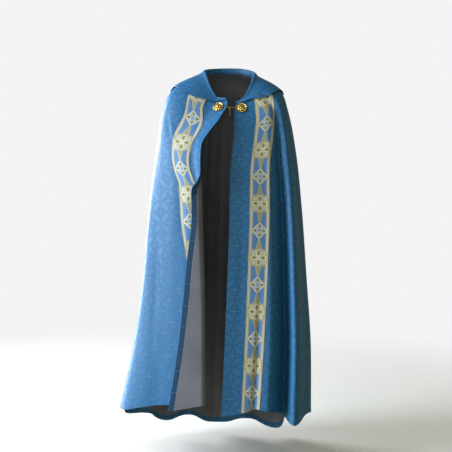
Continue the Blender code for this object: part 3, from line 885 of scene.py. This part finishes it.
def make_brocade(name, ground, leaf_blue):
    """Blue satin brocade: a lattice of leaf petals turned 45 degrees, with a fine cross in each cell."""
    tree, shader, made = new_material(name)
    across, down = flat_place(tree)
    root = math.sqrt(0.5)
    first = ((across + down) * root).wrap(-LATTICE / 2, LATTICE / 2)
    second = ((across - down) * root).wrap(-LATTICE / 2, LATTICE / 2)
    one, other = first.size(), second.size()
    petal = far(one - LATTICE, other).least(far(other - LATTICE, one)) * -1 + LATTICE * root
    leaf = petal.above(*PETAL_EDGE)
    sideways = ((first + second) * root).size()
    upward = ((first - second) * root).size()
    cross = sideways.least(upward).below(*CROSS_THREAD) * sideways.most(upward).below(*CROSS_ARM)
    cloudy = grain(tree, scale=9.0, detail=3.0)
    slub = grain(tree, scale=420.0, detail=2.0)
    colour = coats(tree, blend(tree, leaf, ground, leaf_blue),
                   (cross * 0.8, BLUE_CROSS),
                   ((cloudy - 0.35) * 0.5, ground))
    twill = (across + down).wave(TWILL_PITCH) * leaf
    satin = (across - down).wave(SATIN_PITCH) * (leaf * -1 + 1)
    height = leaf * 0.3 + petal.above(*RIB_EDGE) * 0.15 + cross * 0.6 + (twill + satin) * 0.22 + slub * 0.5
    dress(tree, shader, "brocade", colour, leaf * -0.05 + cross * 0.20 + (slub - 0.5) * 0.12, height)
    shader.inputs["Specular IOR Level"].default_value = 0.30
    shader.inputs["Sheen Roughness"].default_value = 0.35
    shader.inputs["Sheen Tint"].default_value = SHEEN_BLUE
    return made


def make_lining():
    """Plain grey lining with soft slubs."""
    tree, shader, made = new_material("lining")
    across, down = flat_place(tree)
    cloudy = grain(tree, scale=7.0, detail=3.0)
    slub = grain(tree, scale=300.0, detail=2.0)
    colour = blend(tree, cloudy * 0.7, LINING_COLOUR, LINING_PALE)
    height = thread_weave(across, down, LINING_PITCH) * 0.5 + slub * 0.6
    dress(tree, shader, "lining", colour, slub * 0.2, height)
    return made


def round_medallion(tree, x, y, flecks):
    """A scalloped ring, four looped leaves with dark eyes, corner knots, spokes and a hub. Gives its
    field, its gold lines, its leaf lines and its colour."""
    side, height, disc = x.size(), y.size(), far(x, y)
    scallop = (far(side - SCALLOP_OUT, height - SCALLOP_OUT) * -1 + SCALLOP_RADIUS) * SCALLOP_SHARE
    field = (disc - scallop).below(*DISC_EDGE)
    rings = stroke(disc, *DISC_RING).most(stroke(disc, *DISC_OUTLINE))
    leaf = four(x, y, LEAVES)
    leaf_line = stroke(leaf, *LEAF_LINE)
    corner = far(side - CORNER_OUT, height - CORNER_OUT)
    spokes = stroke(side - height, *SPOKE) * disc.above(*SPOKE_FROM) * disc.below(*SPOKE_TO)
    colour = coats(
        tree, blend(tree, flecks.above(*SAGE_FLECKS), CREAM, SAGE),
        (rings, GOLD_THREAD),
        (corner.below(*CORNER_EDGE), LAVENDER),
        (stroke(corner, *CORNER_LINE), PALE),
        (leaf.below(*LEAF_EDGE), LEAF_GOLD),
        (leaf_line, PALE),
        (four(x, y, EYES).below(*EYE_EDGE), OLIVE),
        (spokes.most(disc.below(*HUB_EDGE)), PALE),
    )
    return field, rings.most(leaf_line), leaf_line, colour


def lozenge_medallion(tree, x, y, flecks):
    """A lozenge with a pale outline, four buds, crossed threads and a blue heart, on the band's blue.
    Gives its field, its outline and the colour."""
    side, height = x.size(), y.size()
    reach = side / LOZENGE_WIDE + height / LOZENGE_TALL
    field = reach.below(*LOZENGE_EDGE)
    outline = stroke(reach, *LOZENGE_LINE)
    bud = four(x, y, BUDS)
    bud_line = stroke(bud, *BUD_LINE) * reach.below(*BUD_ROOM)
    star = stroke(side - height, *SPOKE) * far(x, y).below(*STAR_EDGE)
    colour = coats(
        tree, blend(tree, field, ROYAL, LAVENDER),
        (field * flecks.above(*FIELD_FLECKS), SAGE),
        (field * outline, PALE),
        (star.most(bud_line) * field, PALE),
        (far(x, y).below(*HEART_EDGE), HEART_BLUE),
        (bud.below(*BUD_EDGE) * field, OLIVE),
    )
    return field, outline, colour


def necks(tree, colour, x, y):
    """Tapering necks from each round medallion to the lozenges' tips. Gives their field and the colour."""
    side, height = x.size(), y.size()
    room = (height - NECK_FOOT) * -NECK_TAPER + NECK_HALF - side
    field = room.above(*NECK_SIDE) * height.above(*NECK_START)
    out, wide, tall = NECK_RING
    ring = stroke(ellipse(x, height - out, wide, tall), *NECK_RING_LINE)
    return field, coats(tree, colour, (field, SAGE), (stroke(room, *NECK_EDGE) * field, CREAM),
                        (ring * field, GOLD_THREAD))


def borders(tree, colour, side, down):
    """A beaded border along both edges. Gives its field, its beads, its gold lines and the colour."""
    field = side.above(*BORDER_EDGE)
    out, wide, tall = BEAD
    half = BEAD_SPACING / 2
    bead = ellipse(side - out, (down - half).wrap(-half, half), wide, tall).below(*BEAD_EDGE)
    edges = stroke(side, *BORDER_LINE).most(side.above(*SELVAGE))
    border = coats(tree, blend(tree, bead, BORDER_GREY, CREAM), (edges, GOLD_THREAD))
    return field, bead, edges, blend(tree, field, colour, border)


def make_galloon():
    """The band's own chart: round and lozenge medallions in turn on blue, joined by tapering necks, with
    four leaves or buds in each, and a beaded border along both edges. The round ones lie on top."""
    tree, shader, made = new_material("galloon")
    x, down = flat_place(tree)
    half = BAND_REPEAT / 2
    y = (down - BAND_START).wrap(-half, half)
    y_lozenge = (down - BAND_START - half).wrap(-half, half)
    flecks = grain(tree, scale=260.0, detail=3.0)
    speck = grain(tree, scale=700.0, detail=2.0)
    in_lozenge, lozenge_line, colour = lozenge_medallion(tree, x, y_lozenge, flecks)
    in_neck, colour = necks(tree, colour, x, y)
    in_border, bead, border_line, colour = borders(tree, colour, x.size(), down)
    in_disc, disc_line, leaf_line, medallion = round_medallion(tree, x, y, flecks)
    colour = coats(tree, colour, (in_disc, medallion), (speck.above(*GOLD_FLECKS) * 0.30, GOLD_THREAD))
    metal_thread = (disc_line * in_disc).most(border_line * (in_disc * -1 + 1))
    height = (in_disc.most(in_lozenge).most(in_neck).most(in_border) * 0.7 + leaf_line * in_disc * 0.4
              + bead * in_border * 0.5 + lozenge_line * in_lozenge * 0.4
              + thread_weave(x, down, BAND_PITCH) * 0.25 + speck * 0.4)
    dress(tree, shader, "galloon", colour, metal_thread * -0.12, height)
    return made


def make_gilt():
    """Gilt metal, a little worn, with painted shade in its grooves: dark where its flat place says how deep
    in a groove a point lies.
    """
    tree, shader, made = new_material("gold_metal")
    worn = grain(tree, scale=260.0, detail=4.0)
    cloudy = grain(tree, scale=40.0, detail=2.0)
    # How deep in a groove each point lies, which sets the painted shade
    groove_shade = flat_place(tree)[0]
    colour = coats(tree, GILT, (worn.above(*WORN_SPOTS) * 0.5, GILT_WORN), (groove_shade, GROOVE_SHADE))
    dress(tree, shader, "gilt", colour, cloudy * 0.18, worn)
    shader.inputs["Metallic"].default_value = 1.0
    return made


def make_thread():
    """Sewing thread for the stitches along the galloon."""
    tree, shader, made = new_material("thread")
    twist = grain(tree, scale=1500.0, detail=1.0)
    dress(tree, shader, "thread", blend(tree, twist, THREAD_DARK, THREAD_PALE), 0.0, twist)
    return made


def make_backdrop():
    """Even studio white."""
    tree, shader, made = new_material("studio backdrop")
    shader.inputs["Base Color"].default_value = (*BLACK, 1.0)
    shader.inputs["Specular IOR Level"].default_value = 0.0
    shader.inputs["Emission Color"].default_value = (*STUDIO_WHITE, 1.0)
    shader.inputs["Emission Strength"].default_value = 1.0
    return made


def make_floor():
    """A pale floor that turns into the backdrop's white away from the garment."""
    tree, shader, made = new_material("studio floor")
    place = tree.nodes.new("ShaderNodeTexCoord")
    split = tree.nodes.new("ShaderNodeSeparateXYZ")
    tree.links.new(place.outputs["Object"], split.inputs[0])
    away = far(Number(tree, split.outputs[0]), Number(tree, split.outputs[1])).above(FLOOR_TURN, FLOOR_FADE)
    pale = blend(tree, grain(tree, scale=3.0, detail=2.0), FLOOR_GREY, FLOOR_PALE)
    tree.links.new(blend(tree, away, pale, BLACK), shader.inputs["Base Color"])
    tree.links.new(blend(tree, away, BLACK, STUDIO_WHITE), shader.inputs["Emission Color"])
    shader.inputs["Emission Strength"].default_value = 1.0
    shader.inputs["Specular IOR Level"].default_value = 0.0
    shader.inputs["Roughness"].default_value = 0.85
    return made


brocade = make_brocade("brocade", BLUE_GROUND, BLUE_PETAL)
# The facing's brocade, darkened as painted shade on the turned-back edge
shaded_facing_brocade = make_brocade("brocade_painted_shade", FACING_SHADE_BLUE, FACING_SHADE_PETAL)
lining = make_lining()
galloon = make_galloon()
gilt = make_gilt()
thread = make_thread()


def sewn(piece, node):
    """A finished piece rides on the frame and stands for its node, where it has one."""
    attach(piece, "root")
    if node:
        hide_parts(node)


HEM_FACING_DROP = 1 - HEM_FACING / BACK_LENGTH
DROPS = np.unique(np.append(np.linspace(0, 1, ROWS), HEM_FACING_DROP))
HALF = SHELL / 2
CLEAR = HALF + SEAM


def build_front(side, word):
    """One front with its galloon. The right one also has the facing and the lining that show where its
    edge is turned back."""
    points, outs = cloth(DROPS, front_columns, side)
    flat = flat_chart(points, BAND_MIDDLE)
    right = side < 0
    shell = cloth_piece("cloth_front_" + word, points, outs, flat, -HALF, HALF, brocade,
                        None if right else lining, right)
    sewn(shell, "front_" + word)
    band = slice(BAND_COLUMN, len(NEAR))
    chart = flat[:, band].copy()
    chart[:, :, 0] = np.linspace(-0.5, 0.5, chart.shape[1]) * GALLOON_WIDTH
    if right:
        chart[:, :, 1] += BAND_SHIFT_RIGHT
    strip = cloth_piece("band_" + word, points[:, band], outs[:, band], chart, CLEAR, CLEAR + BAND,
                        galloon, None, right)
    sewn(strip, "galloon_" + word)
    if right:
        edge = slice(0, FACING_COLUMN + 1)
        # The facing takes the darkened brocade, painted shade
        facing = cloth_piece("edge_facing", points[:, edge], outs[:, edge], flat[:, edge],
                             -CLEAR - FACING, -CLEAR, shaded_facing_brocade, None, True)
        sewn(facing, "facing_front_right")
        rest = slice(FACING_COLUMN, None)
        within = points[:, rest].copy()
        within[:, 0] += toward(within[:, 1] - within[:, 0], SEAM)
        turned = cloth_piece("lining_right", within, outs[:, rest], flat[:, rest],
                             -CLEAR - LINING, -CLEAR, lining, None, True)
        sewn(turned, "lining_front_right")
    return points, outs


def build_back():
    """The back with its hem facing and, above that, its lining."""
    points, outs, flat = back_cloth(DROPS)
    shell = cloth_piece("cloth_back", points, outs, flat, -HALF, HALF, brocade, None, True)
    sewn(shell, "back")
    first_hem = int(np.argmin(np.abs(DROPS - HEM_FACING_DROP)))
    hem = slice(first_hem, None)
    strip = cloth_piece("hem_band", points[hem], outs[hem], flat[hem], -CLEAR - FACING, -CLEAR,
                        brocade, None, True)
    sewn(strip, "hem_facing_back")
    above = slice(0, first_hem + 1)
    within = points[above].copy()
    within[-1] += toward(within[-2] - within[-1], SEAM)
    back_lining = cloth_piece("lining_behind", within, outs[above], flat[above],
                              -CLEAR - LINING, -CLEAR, lining, None, True)
    sewn(back_lining, "lining_back")


fronts = {word: build_front(side, word) for side, word in ((-1, "right"), (1, "left"))}
build_back()


def collar_half(side):
    """One half of the collar: for each place along the neck, its section from foot to edge."""
    levels = np.linspace(0, COLLAR_DEEPEST, COLLAR_LEVELS)
    shares = np.linspace(0, 1, COLLAR_HALF + 1)
    rows, outs = cloth(levels, lambda length, lines: shares * length[-1], side)
    columns = []
    for j, share in enumerate(shares):
        reach, stand = smooth_columns(COLLAR, share)[0]
        fall = np.array(COLLAR_FALL)
        here = at_distances(rows[:, j], levels, reach * fall)
        out = at_distances(outs[:, j], levels, reach * fall)
        lift = COLLAR_LIFT + (COLLAR_EDGE_LIFT - COLLAR_LIFT) * fall * fall
        rise = (stand - COLLAR_LIFT + COLLAR_ROLL) * np.exp(-COLLAR_RISE_FADE * fall)
        lying = here + out * lift[:, None] + rise[:, None] * UP
        neck = rows[0, j]
        away = neck * (1, 1, 0)
        inset = -away / np.linalg.norm(away) * (COLLAR_WALL / 2 + 2 * SEAM)
        foot = neck + inset + UP * (SHELL / 2 + 2 * SEAM)
        top = neck + inset + UP * stand
        section = np.vstack((foot, top, lying))
        length = run_length(section)
        even = np.linspace(0, length[-1], COLLAR_DOWN)
        columns.append(smooth_columns(np.column_stack((length, section)), even))
    return columns


def build_collar():
    """One collar from both halves."""
    columns = collar_half(-1) + collar_half(1)[-2::-1]
    points = np.array(columns).transpose(1, 0, 2)
    piece = cloth_piece("collar_cloth", points, grid_outs(points), flat_chart(points, COLLAR_HALF),
                        -COLLAR_WALL / 2, COLLAR_WALL / 2, brocade, None, False)
    sewn(piece, "collar")


build_collar()


def seat(x, z, word):
    """A seat for a rosette on a front: its middle and the axes across, up and out."""
    points = fronts[word][0][:SEAT_ROWS, :SEAT_COLUMNS].reshape(-1, 3)
    middle = points[np.argmin((points[:, 0] - x) ** 2 + (points[:, 2] - z) ** 2)]
    around = points[np.linalg.norm(points - middle, axis=1) < ROSETTE_RADIUS * SEAT_LEVEL]
    out = np.linalg.svd(around - around.mean(axis=0))[2][2]
    out = out if out[1] < 0 else -out
    under = points[np.linalg.norm(points - middle, axis=1) < ROSETTE_RADIUS * SEAT_CLEAR]
    height = ((under - middle) @ out).max()
    across = np.cross(UP, -out)
    across /= np.linalg.norm(across)
    return middle + out * (height + SHELL / 2 + SEAM), across, np.cross(out, across), out


def hump(at, middle, reach, steepness=2):
    """A rise that is 1 at the middle and dies away beyond the reach."""
    return np.exp(-((at - middle) / reach) ** steepness)


def rosette_height(share, angle):
    """Height of the pressed rosette at a share of its radius, and how deep in a groove that lies, from
    0 to 1, which the gilt paints as shade. It has a beaded rim, a ring of petals, a dome and a round boss."""
    raised = sum(height * np.abs(np.cos(many * angle / 2)) * hump(share, middle, reach, steepness)
                 for height, middle, reach, steepness, many in ROSETTE_RELIEF)
    dome, boss = (height * np.clip(1 - (share / reach) ** 2, 0, 1) ** roundness
                  for height, reach, roundness in ROSETTE_ROUNDS)
    return raised + dome + boss, 1 - np.clip((raised + boss) / GROOVE_DEPTH, 0, 1)


def rosette(name, base, across, up, out):
    """A scalloped gilt rosette, closed under its rim. Its material paints shade into the grooves."""
    angle = np.linspace(0, 2 * math.pi, ROSETTE_SPOKES, endpoint=False)
    scallop = SCALLOP_DEPTH * (1 - np.abs(np.cos(ROSETTE_BEADS * angle / 2)))
    rings = [(1.0, np.zeros(ROSETTE_SPOKES), np.ones(ROSETTE_SPOKES))]
    for share in (1.0, *np.linspace(ROSETTE_OUTMOST, ROSETTE_INMOST, ROSETTE_RINGS)):
        height, groove = rosette_height(share, angle)
        rings.append((share, ROSETTE_FOOT + height, groove))
    vertices = []
    for share, height, groove in rings:
        radius = ROSETTE_RADIUS * share * (1 - scallop * share ** 3)
        vertices.append(base + (radius * np.cos(angle))[:, None] * across
                        + (radius * np.sin(angle))[:, None] * up + height[:, None] * out)
    vertices.append((base + out * (ROSETTE_FOOT + rosette_height(0.0, 0.0)[0]))[None, :])
    vertices.append(base[None, :])
    vertices = np.concatenate(vertices)
    top, under = len(vertices) - 2, len(vertices) - 1
    faces = ring_faces(len(rings), ROSETTE_SPOKES)
    last = (len(rings) - 1) * ROSETTE_SPOKES
    for k in range(ROSETTE_SPOKES):
        after = (k + 1) % ROSETTE_SPOKES
        faces += [[under, after, k], [last + k, last + after, top]]
    # Each point's depth in a groove, which the gilt's material paints as shade
    groove_shade = np.zeros((len(vertices), 2))
    groove_shade[:-2, 0] = np.concatenate([groove for share, height, groove in rings])
    return add_mesh(name, vertices, faces, [gilt], groove_shade, smooth_angle=ROSETTE_SMOOTH)


def tube(path, radii, sides):
    """Rings of points round a path, each with its own radius, closed at both ends."""
    path = np.array(path)
    ahead = np.gradient(path, axis=0)
    ahead /= np.linalg.norm(ahead, axis=1)[:, None]
    vertices = []
    guide = UP if abs(ahead[0][2]) < STEEP else -AHEAD
    for point, way, radius in zip(path, ahead, radii):
        first = np.cross(way, guide)
        first /= np.linalg.norm(first)
        second = np.cross(way, first)
        guide = -second
        angle = np.linspace(0, 2 * math.pi, sides, endpoint=False)
        vertices.append(point + radius * (np.cos(angle)[:, None] * first + np.sin(angle)[:, None] * second))
    ends = [list(range(sides))[::-1], [(len(path) - 1) * sides + k for k in range(sides)]]
    return np.concatenate(vertices), ends + ring_faces(len(path), sides)


def loop(middle, one, two, wide, tall, wire, steps=32, sides=10):
    """A closed ring of wire in the plane of two directions."""
    vertices = []
    normal = np.cross(one, two)
    for k in range(steps):
        angle = 2 * math.pi * k / steps
        spoke = math.cos(angle) * one + math.sin(angle) * two
        at = middle + wide * math.cos(angle) * one + tall * math.sin(angle) * two
        for m in range(sides):
            turn = 2 * math.pi * m / sides
            vertices.append(at + wire * (math.cos(turn) * spoke + math.sin(turn) * normal))
    return np.array(vertices), turned_over(ring_faces(steps, sides, closed=True))


def gathered(name, parts):
    """One gilt object from several closed pieces."""
    vertices, faces, count = [], [], 0
    for more, round_about in parts:
        vertices.append(more)
        faces += [[k + count for k in face] for face in round_about]
        count += len(more)
    return add_mesh(name, np.concatenate(vertices), faces, [gilt])


def link_parts(right, left):
    """The bowed wire between two seats with an eye near each end, and the wire's middle point."""
    way = left[0] - right[0]
    way /= np.linalg.norm(way)
    clear = ROSETTE_RADIUS * LINK_START
    start = right[0] + way * clear + right[3] * LINK_HEIGHT
    end = left[0] - way * clear + left[3] * LINK_HEIGHT
    share = np.linspace(0, 1, LINK_STEPS)
    bow = LINK_FORWARD * np.sin(math.pi * share)
    path = start + (end - start) * share[:, None] + bow[:, None] * AHEAD
    swelling, middle, reach = LINK_SWELL
    parts = [tube(path, LINK_WIRE * (LINK_THIN + swelling * hump(share, middle, reach)), WIRE_SIDES)]
    for point in (path[EYE_POINT], path[-1 - EYE_POINT]):
        parts.append(loop(point, way, AHEAD, LINK_WIRE * EYE_WIDE, LINK_WIRE * EYE_TALL,
                          LINK_WIRE * EYE_WIRE, EYE_STEPS, EYE_SIDES))
    return parts, path[LINK_STEPS // 2]


def drop_parts(hook):
    """A ring that hangs round the link, and the beaded drop under it."""
    middle = hook - UP * (DROP_RING - DROP_WIRE - LINK_WIRE - SEAM)
    span = np.linspace(0, 1, DROP_STEPS)
    run = middle - UP * DROP_RING - span[:, None] * UP * DROP_LENGTH
    radii = DROP_WIRE * DROP_STEM + sum(size * hump(span, at, reach) for size, at, reach in DROP_SWELLS)
    radii[-1] = DROP_WIRE * DROP_TIP
    ring = loop(middle, AHEAD, UP, DROP_RING, DROP_RING, DROP_WIRE * DROP_RING_THIN)
    return [ring, tube(run, radii, WIRE_SIDES)]


def build_clasp():
    """Two rosettes, the link between them and its drop."""
    right = seat(*ROSETTE_RIGHT, "right")
    left = seat(*ROSETTE_LEFT, "left")
    sewn(rosette("rosette_gilt_right", *right), "rosette_right")
    sewn(rosette("rosette_gilt_left", *left), "rosette_left")
    link, hook = link_parts(right, left)
    sewn(gathered("link_gilt", link), "clasp_link")
    sewn(gathered("drop_gilt", drop_parts(hook)), "clasp_drop")


build_clasp()


def stitch_tree():
    """Stitches laid end to end along a path, each a small lozenge of thread."""
    tree = bpy.data.node_groups.new("running stitch", "GeometryNodeTree")
    face = tree.interface
    face.new_socket("Geometry", in_out="INPUT", socket_type="NodeSocketGeometry")
    for name in ("Spacing", "Stitch length", "Thread radius"):
        face.new_socket(name, in_out="INPUT", socket_type="NodeSocketFloat")
    face.new_socket("Thread", in_out="INPUT", socket_type="NodeSocketMaterial")
    face.new_socket("Geometry", in_out="OUTPUT", socket_type="NodeSocketGeometry")
    new = tree.nodes.new
    given, result = new("NodeGroupInput"), new("NodeGroupOutput")
    curve = new("GeometryNodeMeshToCurve")
    even = new("GeometryNodeResampleCurve")
    even.mode = "LENGTH"
    ball = new("GeometryNodeMeshUVSphere")
    ball.inputs["Segments"].default_value = 6
    ball.inputs["Rings"].default_value = 4
    ball.inputs["Radius"].default_value = 1.0
    sizes = new("ShaderNodeCombineXYZ")
    shape = new("GeometryNodeTransform")
    tangent = new("GeometryNodeInputTangent")
    aim = new("FunctionNodeAlignRotationToVector")
    aim.axis = "Z"
    lay = new("GeometryNodeInstanceOnPoints")
    real = new("GeometryNodeRealizeInstances")
    finish = new("GeometryNodeSetMaterial")
    link = tree.links.new
    link(given.outputs["Geometry"], curve.inputs[0])
    link(curve.outputs[0], even.inputs["Curve"])
    link(given.outputs["Spacing"], even.inputs["Length"])
    link(given.outputs["Thread radius"], sizes.inputs[0])
    link(given.outputs["Thread radius"], sizes.inputs[1])
    link(given.outputs["Stitch length"], sizes.inputs[2])
    link(ball.outputs["Mesh"], shape.inputs["Geometry"])
    link(sizes.outputs[0], shape.inputs["Scale"])
    link(even.outputs[0], lay.inputs["Points"])
    link(shape.outputs[0], lay.inputs["Instance"])
    link(tangent.outputs[0], aim.inputs["Vector"])
    link(aim.outputs[0], lay.inputs["Rotation"])
    link(lay.outputs[0], real.inputs[0])
    link(real.outputs[0], finish.inputs["Geometry"])
    link(given.outputs["Thread"], finish.inputs["Material"])
    link(finish.outputs[0], result.inputs[0])
    return tree


def stitch_row(name, lines, stitches):
    """Running stitch along these lines of points, as one plain mesh."""
    vertices, edges = [], []
    for line in lines:
        first = len(vertices)
        vertices += [tuple(p) for p in line]
        edges += [(first + k, first + k + 1) for k in range(len(line) - 1)]
    mesh = bpy.data.meshes.new(name + " path")
    mesh.from_pydata(vertices, edges, [])
    path = bpy.data.objects.new(name + " path", mesh)
    bpy.context.scene.collection.objects.link(path)
    row = path.modifiers.new("stitches", "NODES")
    row.node_group = stitches
    values = {"Spacing": STITCH_SPACING, "Stitch length": STITCH_LENGTH / 2,
              "Thread radius": THREAD_RADIUS, "Thread": thread}
    for item in stitches.interface.items_tree:
        if item.in_out == "INPUT" and item.name in values:
            row[item.identifier] = values[item.name]
    seen = path.evaluated_get(bpy.context.evaluated_depsgraph_get())
    made = bpy.data.objects.new(name, bpy.data.meshes.new_from_object(seen))
    bpy.context.scene.collection.objects.link(made)
    bpy.data.objects.remove(path)
    made.data.shade_smooth()
    return made


def build_stitches():
    """The rows that hold each galloon along its two edges."""
    stitches = stitch_tree()
    for word, (points, outs) in fronts.items():
        over = CLEAR + BAND
        rows = [points[:, j] + outs[:, j] * over for j in (BAND_COLUMN + 1, len(NEAR) - 2)]
        sewn(stitch_row("stitches_" + word, rows, stitches), None)


build_stitches()

# Studio
FLOOR_Z = -1.50
STUDIO_REACH = 9.0
STUDIO_SIDES = 96
STUDIO_RISES = 24
LIGHTS = (
    # name, place, target, width, power, colour
    ("key", (-4.2, -1.5, 0.1), (0, 0, -0.65), 2.0, 330, (0.84, 0.94, 1.00)),
    ("top", (-2.9, -1.3, 2.5), (0, 0, -0.1), 2.0, 75, (0.88, 0.96, 1.00)),
    ("rim", (-3.2, 2.4, -0.1), (0, 0, -0.7), 2.6, 360, (0.97, 0.98, 1.00)),
    ("fill", (-0.4, -4.8, -0.6), (0, 0, -0.7), 2.4, 30, (1.00, 0.97, 0.90)),
)
AIR_LIGHT = (0.27, 0.27, 0.175, 1.0)
CAMERA_PLACE = (-0.016, -3.8, -0.34)
CAMERA_TARGET = (-0.016, 0.0, -0.568)
CAMERA_LENS = 75.8
CAMERA_FILM = 36


def build_studio():
    """A round floor and a dome far round it. The dome is seen but sheds no light, so the garment keeps
    the contrast between its lit and shaded sides."""
    steps = STUDIO_SIDES
    angle = np.linspace(0, 2 * math.pi, steps, endpoint=False)
    ring = np.column_stack((np.cos(angle), np.sin(angle)))
    floor = add_mesh("studio_floor", np.column_stack((ring * STUDIO_REACH, np.full(steps, FLOOR_Z))),
                     [list(range(steps))], [make_floor()])
    rises = np.radians(np.linspace(0, 90, STUDIO_RISES + 1)[:-1])
    levels = [np.column_stack((ring * STUDIO_REACH * math.cos(r),
                               np.full(steps, FLOOR_Z + STUDIO_REACH * math.sin(r)))) for r in rises]
    vertices = np.concatenate((*levels, [(0, 0, FLOOR_Z + STUDIO_REACH)]))
    faces = turned_over(ring_faces(len(rises), steps))
    last = (len(rises) - 1) * steps
    faces += [[last + (k + 1) % steps, last + k, len(vertices) - 1] for k in range(steps)]
    dome = add_mesh("studio_dome", vertices, faces, [make_backdrop()])
    for thing in (floor, dome):
        thing.visible_diffuse = False
        thing.visible_glossy = False
    dome.visible_shadow = False


def aim_at(thing, place, target):
    """Puts a lamp or a camera at a place and turns it to the target, upright."""
    way = np.array(target, dtype=float) - np.array(place, dtype=float)
    flat_way = math.hypot(way[0], way[1])
    thing.location = place
    thing.rotation_euler = (math.atan2(flat_way, -way[2]), 0.0, math.atan2(-way[0], way[1]))


def soft_light(name, place, target, size, power, colour):
    """A round lamp turned to its target."""
    light = bpy.data.lights.new(name, "AREA")
    light.shape = "DISK"
    light.size = size
    light.energy = power
    light.color = colour
    lamp = bpy.data.objects.new(name, light)
    bpy.context.scene.collection.objects.link(lamp)
    aim_at(lamp, place, target)


def light_studio():
    """Four soft lamps and a little light from all round."""
    for light in LIGHTS:
        soft_light(*light)
    world = bpy.data.worlds.new("studio")
    world.use_nodes = True
    world.node_tree.nodes["Background"].inputs["Color"].default_value = AIR_LIGHT
    bpy.context.scene.world = world
    bpy.context.scene.view_settings.view_transform = "Standard"


def set_camera():
    """A camera in front at chest height."""
    lens = bpy.data.cameras.new("camera")
    lens.sensor_width = CAMERA_FILM
    lens.lens = CAMERA_LENS
    camera = bpy.data.objects.new("camera", lens)
    bpy.context.scene.collection.objects.link(camera)
    aim_at(camera, CAMERA_PLACE, CAMERA_TARGET)
    bpy.context.scene.camera = camera


build_studio()
light_studio()
set_camera()
